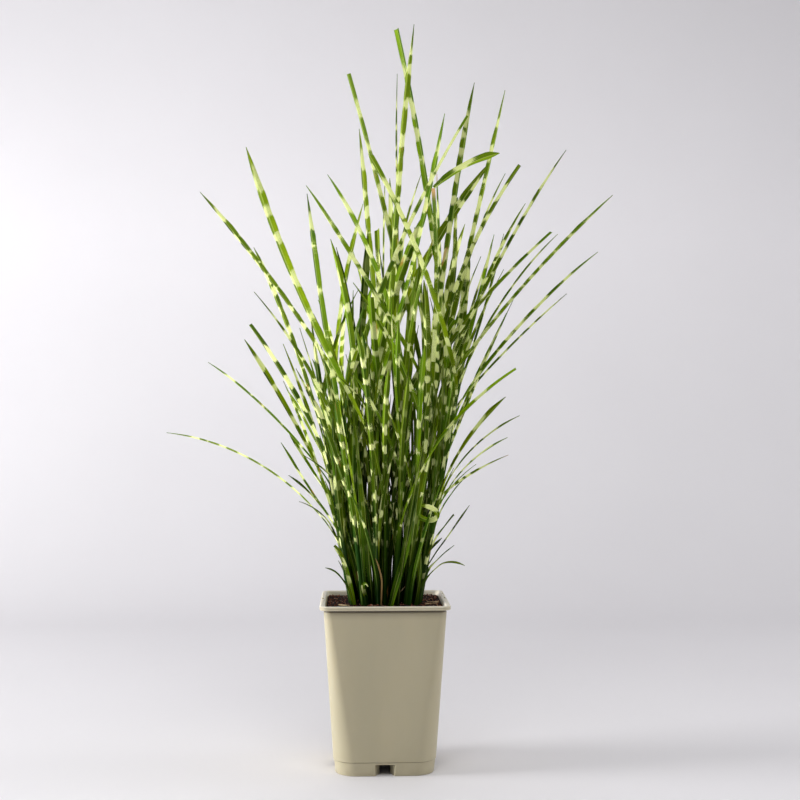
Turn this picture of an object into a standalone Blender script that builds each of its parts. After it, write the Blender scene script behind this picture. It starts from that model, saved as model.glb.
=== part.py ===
# Potted zebra grass: a thin square nursery pot, the compost that fills it, and a clump of upright
# shoots whose long narrow blades fan out all round. Each shoot is one solid with its own blades.
# Metres, +Z up. The origin is on the ground under the middle of the pot, and the front faces -Y.

import math
from collections import namedtuple

import bmesh
import bpy
import numpy as np
from mathutils import Matrix, Vector, noise
from mathutils.bvhtree import BVHTree

MM = 0.001
CLEARANCE = 0.3 * MM        # between pieces that touch
CUTTER_OVER = 4 * MM        # how far a cutter runs past what it cuts

# Pot, a standard 15 x 15 x 20 cm square container
POT_HEIGHT = 200 * MM
RIM_HALF = 77 * MM
RIM_CORNER = 11 * MM
LIP_HEIGHT = 6.4 * MM
WALL = 1.8 * MM
BASE_HALF = 58.6 * MM       # at the ground
FOOT_HEIGHT = 15.8 * MM     # the small step all round
FOOT_HALF = 60.2 * MM
BODY_HALF = 61.0 * MM       # just above the step
NECK_HALF = 72.2 * MM       # just under the rim
BASE_CORNER = 25 * MM
NECK_CORNER = 9 * MM
FLOOR = 1.8 * MM
WALL_RINGS = (60 * MM, 125 * MM)    # heights where the wall has a ring of its own
BASE_EDGE = 1 * MM          # rounding under the base
STEP_RISE = 0.8 * MM        # height over which the step widens
LIP_EDGE = 1 * MM           # rounding along the rim
CORNER_SEGMENTS = 4

# Drainage: a channel crosses the underside each way and ends in a notch in the middle of each side
CHANNEL_HEIGHT = 13.6 * MM
CHANNEL_WIDTH = 12 * MM
NOTCH_WIDTH = 26 * MM
NOTCH_DEPTH = 13 * MM
DRAIN_RADIUS = 4 * MM
DRAIN_SPACING = 27 * MM
RIM_HOLE_RADIUS = 1.1 * MM
RIM_HOLE_REACH = 74.2 * MM

# Compost
SOIL_TOP = 193.5 * MM
SOIL_EDGE_DROP = 1.5 * MM   # how much lower the compost is at the wall
SOIL_LUMP = 2.6 * MM
LUMPS = ((22 * MM, 0.7), (9 * MM, 0.4))     # width of a lump, and its share of the height
SOIL_RINGS = (0.93, 0.78, 0.58, 0.36, 0.16)
POCKET_FLOOR = 172 * MM     # how far down the shoots go
POCKET_OVER = 12 * MM       # how far a pocket's cutter stands over the compost

# Shoots fan out from one point under the compost
FAN_DEPTH = 210 * MM
STEM_WIDE = 4.3 * MM        # half the width of a shoot at the compost
STEM_NARROW = 3.3 * MM
STEM_SIDES = 6
STEM_TOP_SHARE = 0.6        # how much of that is left at the highest blade
STEM_OVER = 12 * MM         # a shoot ends this far over its highest blade
STEM_POINT = 5 * MM         # length of its pointed end
POINT_SHARE = 0.3           # how much of the width is left at the point

# Blades are laid out as they show from the front: a place on the upright plane through the
# pot's middle, and a depth behind it. EYE is the point that the front view is seen from.
EYE = Vector((-36 * MM, -1500 * MM, 400 * MM))
BLADE_STATIONS = (0.0, 0.12, 0.3, 0.5, 0.68, 0.85, 1.0)
THIN_STATIONS = (0.0, 0.2, 0.45, 0.72, 1.0)
THIN_BLADE = 5.5 * MM
KEEL_SHARE = 0.14           # depth of the midrib under a blade, as a share of its width
KEEL_LEAST = 0.9 * MM
KEEL_MOST_SHARE = 0.45      # ... and never more than this
EDGE_LIFT = 0.4             # share of that depth by which the edges stand over the middle line
TIP_WIDTH = 0.8 * MM
ROOT_SHARE = 0.6            # width of a blade where it leaves the shoot
ROOT_LENGTH = 0.25          # share of the length over which it widens
TAPER_LENGTH = 0.22         # share of the length over which it narrows to its tip
TAPER_POWER = 0.75
CUT_NARROWING = 0.2         # how much narrower a cut blade gets from half way to its end
AHEAD = 0.01                # step along a blade that gives its direction
KEEL_FALL = 0.3             # how much the keel's side follows the blade's height
MID_DEPTH_SHARE = 0.42      # how far back or forward a blade has gone half way along
BETWEEN_BLADES = 1.6 * MM
BESIDE = 3.5 * MM           # nearer than this in the front view, two blades may meet
BOX_MARGIN = 12 * MM        # further apart than this, their outlines can't meet
SHOWN_MARGIN = 0.4 * MM
STEM_SHOWN = 0.75           # share of a shoot's width that shows from the front
SPREAD_SAMPLES = 56
OWN_ROOT = 16               # samples near the root where blades of one shoot may join
SPREAD_ROUNDS = 260
SPREAD_ENOUGH = 0.05 * MM
SPREAD_STEP = 8 * MM        # the longest move in one go
LEAST_PULL = 1e-4
FIXED = (0, 0, 0, 0)        # which of a course's curve points may move back or forward
BENDS_ONLY = (0, 1, 1, 0)
BENDS_AND_TIP = (0, 1, 1, 1)

# foot: where the shoot stands on the compost, right and back from the pot's middle, in mm
# A blade's row, in mm: the height where it leaves the shoot; where it is half way along and
# where its tip is (right, up); the tip's depth; its width; the share of the width that shows
# from the front (a minus turns the other edge forward); and whether the tip was cut.
Blade = namedtuple("Blade", "leaves mid_x mid_z tip_x tip_z depth width face cut")
FOLDED = 0          # in place of that height: the row before goes on, bent over at its tip

SHOOTS = {
    "shoot_01": ((-37, -20), (
        (362, -105, 441, -165, 534, -70, 8, 0.7, True),
        (285, -99, 345, -126, 390, -60, 6, 0.6, False),
        (232, -54, 256, -61, 264, -34, 5, 0.7, True),
        (212, -58, 231, -72, 237, -44, 3, 0.6, False))),
    "shoot_02": ((-39, -5), (
        (270, -149, 361, -265, 402, 118, 4, 0.6, False),
        (316, -113, 418, -171, 516, -30, 7, -0.6, False),
        (330, -66, 430, -78, 510, -20, 7, 0.7, False),
        (262, -84, 308, -104, 318, -20, 4, 0.5, False))),
    "shoot_03": ((-37, 9), (
        (336, -149, 434, -215, 488, 60, 5, 0.5, False),
        (366, -120, 535, -160, 629, 70, 7, 0.55, False),
        (308, -98, 371, -118, 405, 40, 7, -0.6, False),
        (214, -49, 234, -56, 246, 20, 3, 0.6, False))),
    "shoot_04": ((-35, 23), (
        (334, -56, 513, -26, 684, 96, 7, 0.55, False),
        (345, -92, 407, -117, 452, 80, 6, 0.6, False),
        (262, -92, 329, -117, 350, 66, 5, -0.5, False),
        (388, -76, 450, -88, 492, 150, 5, 0.4, False))),
    "shoot_05": ((-24, -28), (
        (330, -77, 556, -95, 696, -96, 9, 0.6, False),
        (430, -4, 580, 102, 795, -92, 8, 0.6, True),
        (300, -62, 380, -92, 452, -150, 7, 0.8, False),
        (280, -50, 372, -60, 440, -180, 9, 0.8, False))),
    "shoot_06": ((-25, -13), (
        (352, -50, 430, -24, 560, -40, 7, 0.55, False),
        (340, -40, 500, -66, 640, -60, 8, 0.6, False))),
    "shoot_07": ((-24, 2), (
        (352, -42, 470, -38, 577, 30, 5, -0.4, False),
        (300, -60, 410, -70, 520, 60, 8, 0.7, False),
        (330, -30, 500, -20, 650, 10, 9, -0.7, False))),
    "shoot_08": ((-25, 16), (
        (352, -56, 470, -81, 565, 150, 7, 0.5, False),
        (330, -38, 450, -12, 590, 176, 9, 0.8, False))),
    "shoot_09": ((-23, 30), (
        (340, -50, 450, -46, 560, 200, 8, 0.7, False),
        (300, -40, 400, -46, 470, 150, 8, -0.75, False))),
    "shoot_10": ((-8, -31), (
        (396, -90, 540, -170, 753, -110, 10, 0.62, False),
        (420, 44, 645, 75, 797, -70, 7, 0.55, False),
        (320, -20, 430, -34, 530, -210, 10, 0.85, False))),
    "shoot_11": ((1, -21), (
        (384, -9, 480, -17, 569, -110, 12, 0.98, True),
        (384, 11, 640, 37, 908, -30, 9, 0.65, False),
        (300, 0, 400, 6, 480, -150, 10, 0.85, False))),
    "shoot_12": ((-9, -10), (
        (392, -111, 549, -226, 697, -20, 7, 0.53, False),
        (362, -35, 406, -60, 440, -50, 4, 0.4, False),
        (420, 11, 570, 54, 678, -50, 11, 0.9, False),
        (330, -18, 440, -28, 530, -120, 9, 0.8, False))),
    "shoot_13": ((0, 1), (
        (392, -15, 585, -31, 777, 40, 8, 0.6, False),
        (386, 42, 470, 86, 542, -10, 12, 0.95, True),
        (380, -4, 540, -8, 652, 90, 9, 0.6, True),
        (360, 12, 540, 28, 668, 20, 9, 0.7, False))),
    "shoot_14": ((-8, 12), (
        (400, -36, 520, -59, 630, 90, 6, -0.4, False),
        (430, 38, 584, 131, 736, 60, 11, 0.75, False),
        (330, -10, 430, -20, 510, 170, 9, 0.8, False),
        (380, -4, 500, 10, 610, 150, 9, 0.8, False))),
    "shoot_15": ((1, 24), (
        (400, 0, 560, 1, 715, 140, 4, 0.3, False),
        (430, 8, 560, 46, 722, 110, 5, 0.35, False),
        (340, 2, 470, -6, 600, 205, 10, 0.85, False))),
    "shoot_16": ((12, -27), (
        (345, -2, 410, -38, 475, -110, 8, 0.6, False),
        (404, 30, 520, 60, 640, -120, 8, 0.5, False),
        (300, 22, 400, 30, 470, -170, 10, 0.85, False))),
    "shoot_17": ((13, -7), (
        (394, 14, 590, 7, 716, 0, 9, 0.7, False),
        (444, -12, 604, -70, 720, -40, 8, 0.55, False),
        (330, 16, 440, 18, 540, -130, 10, 0.8, False),
        (380, 30, 500, 44, 610, -60, 9, 0.8, False))),
    "shoot_18": ((12, 14), (
        (400, 17, 640, 16, 846, 60, 5, 0.35, False),
        (440, 104, 544, 208, 650, 50, 8, 0.55, True),
        (320, 18, 420, 26, 500, 170, 10, 0.8, False),
        (360, 30, 500, 40, 620, 120, 9, 0.8, False))),
    "shoot_19": ((26, -27), (
        (440, -14, 575, -96, 706, -100, 8, 0.55, False),
        (330, 52, 455, 49, 590, -120, 12, 0.85, False),
        (300, 42, 410, 50, 510, -180, 9, 0.8, False),
        (372, 106, 434, 163, 480, -76, 8, 0.55, True),
        (420, 80, 640, 112, 836, -60, 8, -0.6, False),
        (430, 66, 590, 62, 704, -90, 9, 0.7, True),
        (FOLDED, 98, 731, 143, 748, -120, 8, 0.7, False))),
    "shoot_20": ((28, -12), (
        (410, 12, 625, -45, 845, -50, 8, 0.6, True),
        (424, 132, 592, 226, 753, -30, 7, 0.5, False),
        (410, 94, 590, 169, 733, -80, 8, 0.6, True))),
    "shoot_21": ((26, 3), (
        (420, 106, 625, 150, 827, 40, 8, 0.6, False),
        (428, 153, 558, 284, 697, 10, 7, 0.45, False),
        (400, 80, 545, 90, 644, 90, 9, 0.7, False))),
    "shoot_22": ((28, 17), (
        (430, 118, 650, 150, 723, 90, 5, 0.3, False),
        (330, 56, 470, 72, 600, 190, 10, 0.8, False),
        (350, 68, 480, 92, 590, 110, 9, 0.8, False),
        (300, 46, 400, 40, 480, 160, 9, 0.8, False),
        (400, 72, 540, 100, 660, 150, 9, 0.7, False))),
    "shoot_23": ((39, -20), (
        (450, 60, 570, -17, 743, -140, 8, 0.55, True),
        (320, 107, 399, 150, 446, -60, 7, 0.6, False),
        (300, 97, 355, 152, 396, -70, 3.5, 0.5, False),
        (258, 72, 285, 86, 301, -44, 6, 0.7, True),
        (224, 76, 243, 99, 239, -50, 3, 0.6, False))),
    "shoot_24": ((41, -5), (
        (424, 56, 690, 16, 902, -30, 9, 0.7, True),
        (430, 167, 533, 265, 626, -20, 7, 0.5, False),
        (315, 107, 380, 167, 423, -30, 3.5, 0.5, False),
        (285, 80, 324, 96, 343, -24, 4, 0.5, False),
        (236, 66, 248, 86, 264, -8, 3, 0.4, False))),
    "shoot_25": ((39, 10), (
        (400, 72, 560, 65, 722, 60, 7, 0.5, False),
        (440, 140, 554, 215, 648, 50, 5, 0.35, False),
        (400, 104, 510, 136, 647, 70, 7, 0.5, False),
        (232, 78, 275, 105, 313, 10, 4, 0.5, False))),
    "shoot_26": ((37, 25), (
        (392, 94, 520, 104, 628, 130, 12, 0.95, False),
        (430, 120, 570, 175, 686, 120, 8, 0.55, False),
        (412, 148, 500, 226, 574, 100, 5, 0.35, False),
        (390, 114, 520, 148, 648, 150, 5, 0.4, False),
        (330, 90, 450, 104, 540, 100, 8, 0.8, False),
        (246, 60, 263, 71, 273, 46, 4, 0.5, False))),
}

# The old dead stub, whose foot is upright in the compost: points in mm
DEAD_STEM = ((18, -16, 182), (18, -16, 201), (17.6, -19, 208), (24, -22, 216), (32, -24, 220))
DEAD_STEM_RADIUS = 1.2 * MM
ROD_ROUNDING = 1            # of a rod's section, which then has six sides

# Loose straws that lie on the compost: (right, back) in mm
STRAWS = {
    "straw_1": ((49, -30), (56, -27), (63, -30)),
    "straw_2": ((52, -14), (59, -20), (66, -18)),
    "straw_3": ((-55, -36), (-49, -40), (-42, -41)),
}
STRAW_RADIUS = 0.9 * MM


def clear_scene():
    for thing in list(bpy.data.objects):
        bpy.data.objects.remove(thing, do_unlink=True)


def make_collection(name):
    group = bpy.data.collections.new(name)
    bpy.context.scene.collection.children.link(group)
    return group


def make_material(name, colour, roughness):
    material = bpy.data.materials.new(name)
    material.use_nodes = True
    shader = material.node_tree.nodes["Principled BSDF"]
    shader.inputs["Base Color"].default_value = (*colour, 1.0)
    shader.inputs["Roughness"].default_value = roughness
    shader.inputs["Metallic"].default_value = 0.0
    return material


def make_object(name, bm, group, material=None, smooth_below=40):
    if bm.calc_volume(signed=True) < 0:
        bmesh.ops.reverse_faces(bm, faces=bm.faces)
    mesh = bpy.data.meshes.new(name)
    bm.to_mesh(mesh)
    bm.free()
    if material:
        mesh.materials.append(material)
    mesh.shade_smooth()
    mesh.set_sharp_from_angle(angle=math.radians(smooth_below))
    thing = bpy.data.objects.new(name, mesh)
    group.objects.link(thing)
    return thing


def make_cutter(name, bm, group):
    cutter = make_object(name, bm, group)
    cutter.hide_render = True
    cutter.display_type = "WIRE"
    return cutter


def signed_volume(mesh):
    """Volume of a closed mesh, or nothing if an edge of it is open."""
    bm = bmesh.new()
    bm.from_mesh(mesh)
    closed = all(edge.is_manifold for edge in bm.edges)
    volume = bm.calc_volume(signed=True) if closed else None
    bm.free()
    return volume


def apply_boolean(target, tool, operation):
    """Join the tool to the target, or cut it out, and drop the tool."""
    before = signed_volume(target.data)
    whole = before if operation == "UNION" else 0.5 * before
    for solver in ("EXACT", "MANIFOLD"):
        modifier = target.modifiers.new(operation.lower(), "BOOLEAN")
        modifier.object = tool
        modifier.operation = operation
        modifier.solver = solver
        bpy.context.view_layer.update()
        result = target.evaluated_get(bpy.context.evaluated_depsgraph_get())
        mesh = bpy.data.meshes.new_from_object(result)
        target.modifiers.clear()
        volume = signed_volume(mesh)
        if volume and volume > 0.999 * whole:
            break
    old = target.data
    target.data = mesh
    bpy.data.meshes.remove(old)
    bpy.data.objects.remove(tool, do_unlink=True)


def cut_with(target, cutter):
    modifier = target.modifiers.new(cutter.name, "BOOLEAN")
    modifier.object = cutter
    modifier.operation = "DIFFERENCE"
    modifier.solver = "EXACT"


def loft(rings):
    """A closed body through rings that have the same number of points."""
    bm = bmesh.new()
    rows = [[bm.verts.new(point) for point in ring] for ring in rings]
    count = len(rows[0])
    for low, high in zip(rows, rows[1:]):
        for i in range(count):
            j = (i + 1) % count
            bm.faces.new((low[i], low[j], high[j], high[i]))
    bm.faces.new(reversed(rows[0]))
    bm.faces.new(rows[-1])
    return bm


# ---- pot and compost

def rounded_square(half, corner, height):
    points = []
    for quarter in range(4):
        turn = quarter * math.pi / 2
        centre = Vector((half - corner, half - corner)).to_3d()
        centre.rotate(Matrix.Rotation(turn, 3, "Z"))
        for step in range(CORNER_SEGMENTS + 1):
            angle = turn + step / CORNER_SEGMENTS * math.pi / 2
            points.append(Vector((centre.x + corner * math.cos(angle),
                                  centre.y + corner * math.sin(angle), height)))
    return points


def wall_at(height):
    """Half width and corner radius of the pot's outside between the step and the rim."""
    share = (height - FOOT_HEIGHT) / (POT_HEIGHT - LIP_HEIGHT - FOOT_HEIGHT)
    half = BODY_HALF + (NECK_HALF - BODY_HALF) * share
    corner = BASE_CORNER + (NECK_CORNER - BASE_CORNER) * share
    return half, corner


def wall_ring(height, inset=0.0):
    half, corner = wall_at(height)
    return rounded_square(half - inset, corner - inset, height)


def foot_ring(height, inset=0.0):
    share = height / FOOT_HEIGHT
    half = BASE_HALF + (FOOT_HALF - BASE_HALF) * share
    return rounded_square(half - inset, BASE_CORNER - inset, height)


def channel_cross(grow, low, high):
    """Both drainage channels as one cross with flared ends, grown on every side."""
    reach = BASE_HALF + CUTTER_OVER
    narrow = CHANNEL_WIDTH / 2 + grow
    wide = NOTCH_WIDTH / 2 + grow
    flare = BASE_HALF - NOTCH_DEPTH
    arm = ((narrow, -narrow), (flare, -narrow), (reach, -wide), (reach, wide), (flare, narrow))
    bm = bmesh.new()
    outline = []
    for quarter in range(4):
        turn = Matrix.Rotation(quarter * math.pi / 2, 2)
        for point in arm:
            outline.append(bm.verts.new((*(turn @ Vector(point)), low)))
    face = bm.faces.new(outline)
    walls = bmesh.ops.extrude_face_region(bm, geom=[face])["geom"]
    top = [item for item in walls if isinstance(item, bmesh.types.BMVert)]
    bmesh.ops.translate(bm, verts=top, vec=(0, 0, high - low))
    return bm


def cylinder(radius, low, high, x, y, segments=12):
    bm = bmesh.new()
    place = Matrix.Translation((x, y, (low + high) / 2))
    bmesh.ops.create_cone(bm, cap_ends=True, segments=segments, radius1=radius, radius2=radius,
                          depth=high - low, matrix=place)
    return bm


def cavity_rings(inset, top, top_inset):
    """The inside of the pot, drawn in by a clearance, up to a given height."""
    low = FLOOR + inset
    gap = WALL + inset
    rings = [foot_ring(low, gap), foot_ring(FOOT_HEIGHT, gap)]
    rings += [wall_ring(height, gap) for height in WALL_RINGS]
    rings.append(wall_ring(top, top_inset))
    return rings


def make_pot(group, cutters, material):
    lip_low = POT_HEIGHT - LIP_HEIGHT
    rings = [foot_ring(0.0, BASE_EDGE), foot_ring(BASE_EDGE)]
    rings += [foot_ring(FOOT_HEIGHT), wall_ring(FOOT_HEIGHT + STEP_RISE)]
    rings += [wall_ring(height) for height in WALL_RINGS]
    rings += [
        wall_ring(lip_low),
        rounded_square(RIM_HALF - LIP_EDGE, RIM_CORNER - LIP_EDGE, lip_low),
        rounded_square(RIM_HALF, RIM_CORNER, lip_low + LIP_EDGE),
        rounded_square(RIM_HALF, RIM_CORNER, POT_HEIGHT - LIP_EDGE),
        rounded_square(RIM_HALF - LIP_EDGE, RIM_CORNER - LIP_EDGE, POT_HEIGHT),
    ]
    pot = make_object("pot", loft(rings), group, material)

    hollow = cavity_rings(0.0, POT_HEIGHT + CUTTER_OVER, WALL)
    inside = make_cutter("pot_inside", loft(hollow), cutters)
    ribs_high = CHANNEL_HEIGHT + WALL
    ribs = make_cutter("pot_ribs", channel_cross(WALL, -CUTTER_OVER, ribs_high), cutters)
    apply_boolean(inside, ribs, "DIFFERENCE")
    cut_with(pot, inside)
    channels = channel_cross(0.0, -CUTTER_OVER, CHANNEL_HEIGHT)
    cut_with(pot, make_cutter("pot_channels", channels, cutters))

    drains = [(0.0, 0.0)]
    for quarter in range(4):
        angle = quarter * math.pi / 2
        drains.append((DRAIN_SPACING * math.cos(angle), DRAIN_SPACING * math.sin(angle)))
    for index, (x, y) in enumerate(drains):
        hole = cylinder(DRAIN_RADIUS, CHANNEL_HEIGHT - CUTTER_OVER, ribs_high + CUTTER_OVER, x, y)
        cut_with(pot, make_cutter(f"drain_{index}", hole, cutters))
    for side in (-1, 1):
        hole = cylinder(RIM_HOLE_RADIUS, lip_low - CUTTER_OVER, POT_HEIGHT + CUTTER_OVER,
                        side * RIM_HOLE_REACH, 0.0, segments=8)
        cut_with(pot, make_cutter(f"rim_hole_{side + 1}", hole, cutters))
    return pot


def soil_height(x, y):
    lift = sum(share * noise.noise(Vector((x, y, 0.0)) / width) for width, share in LUMPS)
    return SOIL_TOP + SOIL_LUMP * lift


def make_soil(group, cutters, material, shoots):
    rings = cavity_rings(CLEARANCE, SOIL_TOP - SOIL_EDGE_DROP, WALL + CLEARANCE)
    edge = rings[-1]
    for share in SOIL_RINGS:
        ring = [Vector((p.x * share, p.y * share, 0.0)) for p in edge]
        rings.append([Vector((p.x, p.y, soil_height(p.x, p.y))) for p in ring])
    body = loft(rings)
    bmesh.ops.triangulate(body, faces=body.faces)
    soil = make_object("soil", body, group, material)
    ribs = channel_cross(WALL + CLEARANCE, -CUTTER_OVER, CHANNEL_HEIGHT + WALL + CLEARANCE)
    apply_boolean(soil, make_cutter("soil_ribs", ribs, cutters), "DIFFERENCE")
    for name, shoot in shoots.items():
        pocket = make_cutter(f"pocket_{name}", shoot_pocket(shoot), cutters)
        apply_boolean(soil, pocket, "DIFFERENCE")
    x, y, foot = (value * MM for value in DEAD_STEM[0])
    hole = cylinder(DEAD_STEM_RADIUS + 2 * CLEARANCE, foot - CLEARANCE, SOIL_TOP + POCKET_OVER, x, y)
    apply_boolean(soil, make_cutter("pocket_dead_stem", hole, cutters), "DIFFERENCE")
    return soil


# ---- layout of the shoots and their blades

class Shoot:
    def __init__(self, foot, rows):
        self.foot = Vector((foot[0] * MM, foot[1] * MM, SOIL_TOP))
        self.blades = [Blade(*row) for row in rows]
        self.top = max(blade.leaves for blade in self.blades) * MM + STEM_OVER

    def centre(self, height):
        share = 1 + (height - SOIL_TOP) / FAN_DEPTH
        return Vector((self.foot.x * share, self.foot.y * share, height))

    def ring(self, height, grow=0.0):
        """The oval section of the shoot, which narrows upwards."""
        share = max(0.0, (height - SOIL_TOP) / (self.top - SOIL_TOP))
        size = 1 - (1 - STEM_TOP_SHARE) * share
        middle = self.centre(height)
        points = []
        for side in range(STEM_SIDES):
            angle = (side + 0.5) / STEM_SIDES * math.tau
            points.append(middle + Vector(((STEM_WIDE * size + grow) * math.cos(angle),
                                           (STEM_NARROW * size + grow) * math.sin(angle), 0.0)))
        return points


def shoot_pocket(shoot):
    low = POCKET_FLOOR - CLEARANCE
    return loft([shoot.ring(low, CLEARANCE), shoot.ring(SOIL_TOP + POCKET_OVER, CLEARANCE)])


def to_view(point):
    """(right, up, depth) of a place as it shows from the front."""
    share = 1 + point.y / -EYE.y
    return np.array((EYE.x + (point.x - EYE.x) / share, EYE.z + (point.z - EYE.z) / share, point.y))


def from_view(right, up, depth):
    share = 1 + depth / -EYE.y
    return Vector((EYE.x + (right - EYE.x) * share, depth, EYE.z + (up - EYE.z) * share))


def bezier_weights(t):
    t = np.asarray(t, float)
    return np.stack([(1 - t) ** 3, 3 * t * (1 - t) ** 2, 3 * t * t * (1 - t), t ** 3], -1)


def blade_controls(shoot, blade, fold):
    """The curve points of a parabola from the shoot through the half-way mark to the tip."""
    first = to_view(shoot.centre(blade.leaves * MM)) if fold is None else fold
    tip = np.array((blade.tip_x, blade.tip_z, blade.depth)) * MM
    middle = np.array((blade.mid_x * MM, blade.mid_z * MM, 0.0))
    middle[2] = first[2] + (tip[2] - first[2]) * MID_DEPTH_SHARE
    reach = np.linalg.norm(middle - first)
    t = reach / (reach + np.linalg.norm(tip - middle))
    bend = (middle - (1 - t) ** 2 * first - t * t * tip) / (2 * t * (1 - t))
    return np.array((first, (first + 2 * bend) / 3, (tip + 2 * bend) / 3, tip))


def blade_width(blade, t):
    t = np.asarray(t, float)
    grow = np.clip(t / ROOT_LENGTH, 0, 1)
    share = ROOT_SHARE + (1 - ROOT_SHARE) * grow * grow * (3 - 2 * grow)
    if blade.cut:
        share = share * (1 - CUT_NARROWING * np.clip(2 * t - 1, 0, 1))
    else:
        share = share * np.clip((1 - t) / TAPER_LENGTH, 0, 1) ** TAPER_POWER
    return np.maximum(blade.width * MM * share, TIP_WIDTH)


def keel_depth(width):
    return np.minimum(np.maximum(KEEL_SHARE * width, KEEL_LEAST), KEEL_MOST_SHARE * width)


class Course:
    """One blade or stem as it shows from the front, sampled from its foot to its tip."""

    def __init__(self, name, controls, widths, shown, free):
        self.name = name
        self.controls = controls
        self.free = np.array(free)           # which curve points may move back or forward
        t = np.linspace(0, 1, SPREAD_SAMPLES)
        self.weights = bezier_weights(t)
        self.flat = self.weights @ controls[:, :2]
        self.half_shown = 0.5 * widths * shown + SHOWN_MARGIN
        self.half_deep = 0.5 * widths * math.sqrt(max(0.0, 1 - shown * shown)) + keel_depth(widths)

    def depths(self):
        return self.weights @ self.controls[:, 2]


def crossings(courses):
    """Where two courses pass over one another in the front view, and how deep that needs."""
    found = []
    for a, one in enumerate(courses):
        for b in range(a + 1, len(courses)):
            two = courses[b]
            if not (one.free.any() or two.free.any()):
                continue
            if (one.flat.min(0) - BOX_MARGIN > two.flat.max(0)).any():
                continue
            if (two.flat.min(0) - BOX_MARGIN > one.flat.max(0)).any():
                continue
            gaps = np.linalg.norm(one.flat[:, None] - two.flat[None], axis=2)
            near = gaps - one.half_shown[:, None] - two.half_shown[None] < BESIDE
            if one.name == two.name:
                near[:OWN_ROOT] = False
                near[:, :OWN_ROOT] = False
            if not near.any():
                continue
            apart = (one.depths()[:, None] - two.depths()[None])[near]
            sign = 1.0 if apart.mean() >= 0 else -1.0
            best = {}
            for i, j in np.argwhere(near):
                if i not in best or gaps[i, j] < gaps[i, best[i]]:
                    best[i] = j
            for i, j in best.items():
                need = one.half_deep[i] + two.half_deep[j] + BETWEEN_BLADES
                found.append((a, b, i, j, need, sign))
    return found


def spread_apart(courses):
    """Move blades back or forward until none runs through another."""
    found = crossings(courses)
    a, b, i, j = (np.array([row[k] for row in found]) for k in range(4))
    need = np.array([row[4] for row in found])
    sign = np.array([row[5] for row in found])
    for _ in range(SPREAD_ROUNDS):
        depths = np.stack([course.depths() for course in courses])
        lack = need - sign * (depths[a, i] - depths[b, j])
        short = np.nonzero(lack > SPREAD_ENOUGH)[0]
        if not len(short):
            break
        for k in short:
            one = courses[a[k]]
            two = courses[b[k]]
            here = one.weights[i[k]]
            there = two.weights[j[k]]
            gap = sign[k] * (here @ one.controls[:, 2] - there @ two.controls[:, 2])
            miss = need[k] - gap
            if miss <= 0:
                continue
            pull = here * one.free
            push = there * two.free
            total = pull @ pull + push @ push
            if total < LEAST_PULL:
                continue
            step = min(miss / total, SPREAD_STEP / math.sqrt(total)) * sign[k]
            one.controls[:, 2] += step * pull
            two.controls[:, 2] -= step * push


def lay_out():
    """Every shoot with the settled curve points of its blades."""
    shoots = {name: Shoot(foot, rows) for name, (foot, rows) in SHOOTS.items()}
    samples = np.linspace(0, 1, SPREAD_SAMPLES)
    courses = []
    for name, shoot in shoots.items():
        ends = to_view(shoot.centre(POCKET_FLOOR)), to_view(shoot.centre(shoot.top))
        stem = np.linspace(ends[0], ends[1], 4)
        widths = np.full(SPREAD_SAMPLES, 2 * STEM_WIDE)
        courses.append(Course(name, stem, widths, STEM_SHOWN, FIXED))
    for name, shoot in shoots.items():
        shoot.curves = []
        for blade in shoot.blades:
            fold = None
            if blade.leaves == FOLDED:
                shoot.curves[-1].free = np.array(BENDS_ONLY)
                fold = shoot.curves[-1].controls[3]
            widths = blade_width(blade, samples)
            controls = blade_controls(shoot, blade, fold)
            course = Course(name, controls, widths, abs(blade.face), BENDS_AND_TIP)
            shoot.curves.append(course)
            courses.append(course)
    spread_apart(courses)
    return shoots


# ---- solids of the shoots

def blade_rings(blade, controls):
    """Three-sided sections: the two edges of the blade and the keel under its midrib."""
    stations = THIN_STATIONS if blade.width * MM < THIN_BLADE else BLADE_STATIONS
    places = [from_view(*point) for point in bezier_weights(stations) @ controls]
    ahead = [from_view(*point) for point in bezier_weights(np.array(stations) + AHEAD) @ controls]
    turn = math.copysign(math.asin(abs(blade.face)), blade.face)
    sections = []
    for t, place, next_place in zip(stations, places, ahead):
        along = (next_place - place).normalized()
        sight = (place - EYE).normalized()
        edge_on = (sight - along * sight.dot(along)).normalized()
        face_on = along.cross(edge_on)
        across = edge_on * math.cos(turn) + face_on * math.sin(turn)
        width = float(blade_width(blade, t))
        sections.append((place, across, across.cross(along), width, float(keel_depth(width))))
    place, _, under, _, _ = sections[len(sections) // 2]
    outward = Vector((place.x, place.y, -KEEL_FALL * (place.z - SOIL_TOP)))
    side = 1 if under.dot(outward) >= 0 else -1
    rings = []
    for place, across, under, width, keel in sections:
        edge = place - under * side * keel * EDGE_LIFT
        rings.append([edge + across * width / 2, edge - across * width / 2,
                      edge + under * side * keel])
    return rings


def make_shoot(name, shoot, group, material):
    shoulder = shoot.top - STEM_POINT
    rings = [shoot.ring(height) for height in (POCKET_FLOOR, SOIL_TOP, (SOIL_TOP + shoulder) / 2, shoulder)]
    peak = shoot.centre(shoot.top)
    rings.append([peak + (point - shoot.centre(shoulder)) * POINT_SHARE for point in rings[-1]])
    stem = make_object(name, loft(rings), group, material)
    for blade, course in zip(shoot.blades, shoot.curves):
        piece = make_object("blade", loft(blade_rings(blade, course.controls)), group)
        apply_boolean(stem, piece, "UNION")
    stem.data.shade_smooth()
    stem.data.set_sharp_from_angle(angle=math.radians(40))
    return stem


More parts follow.
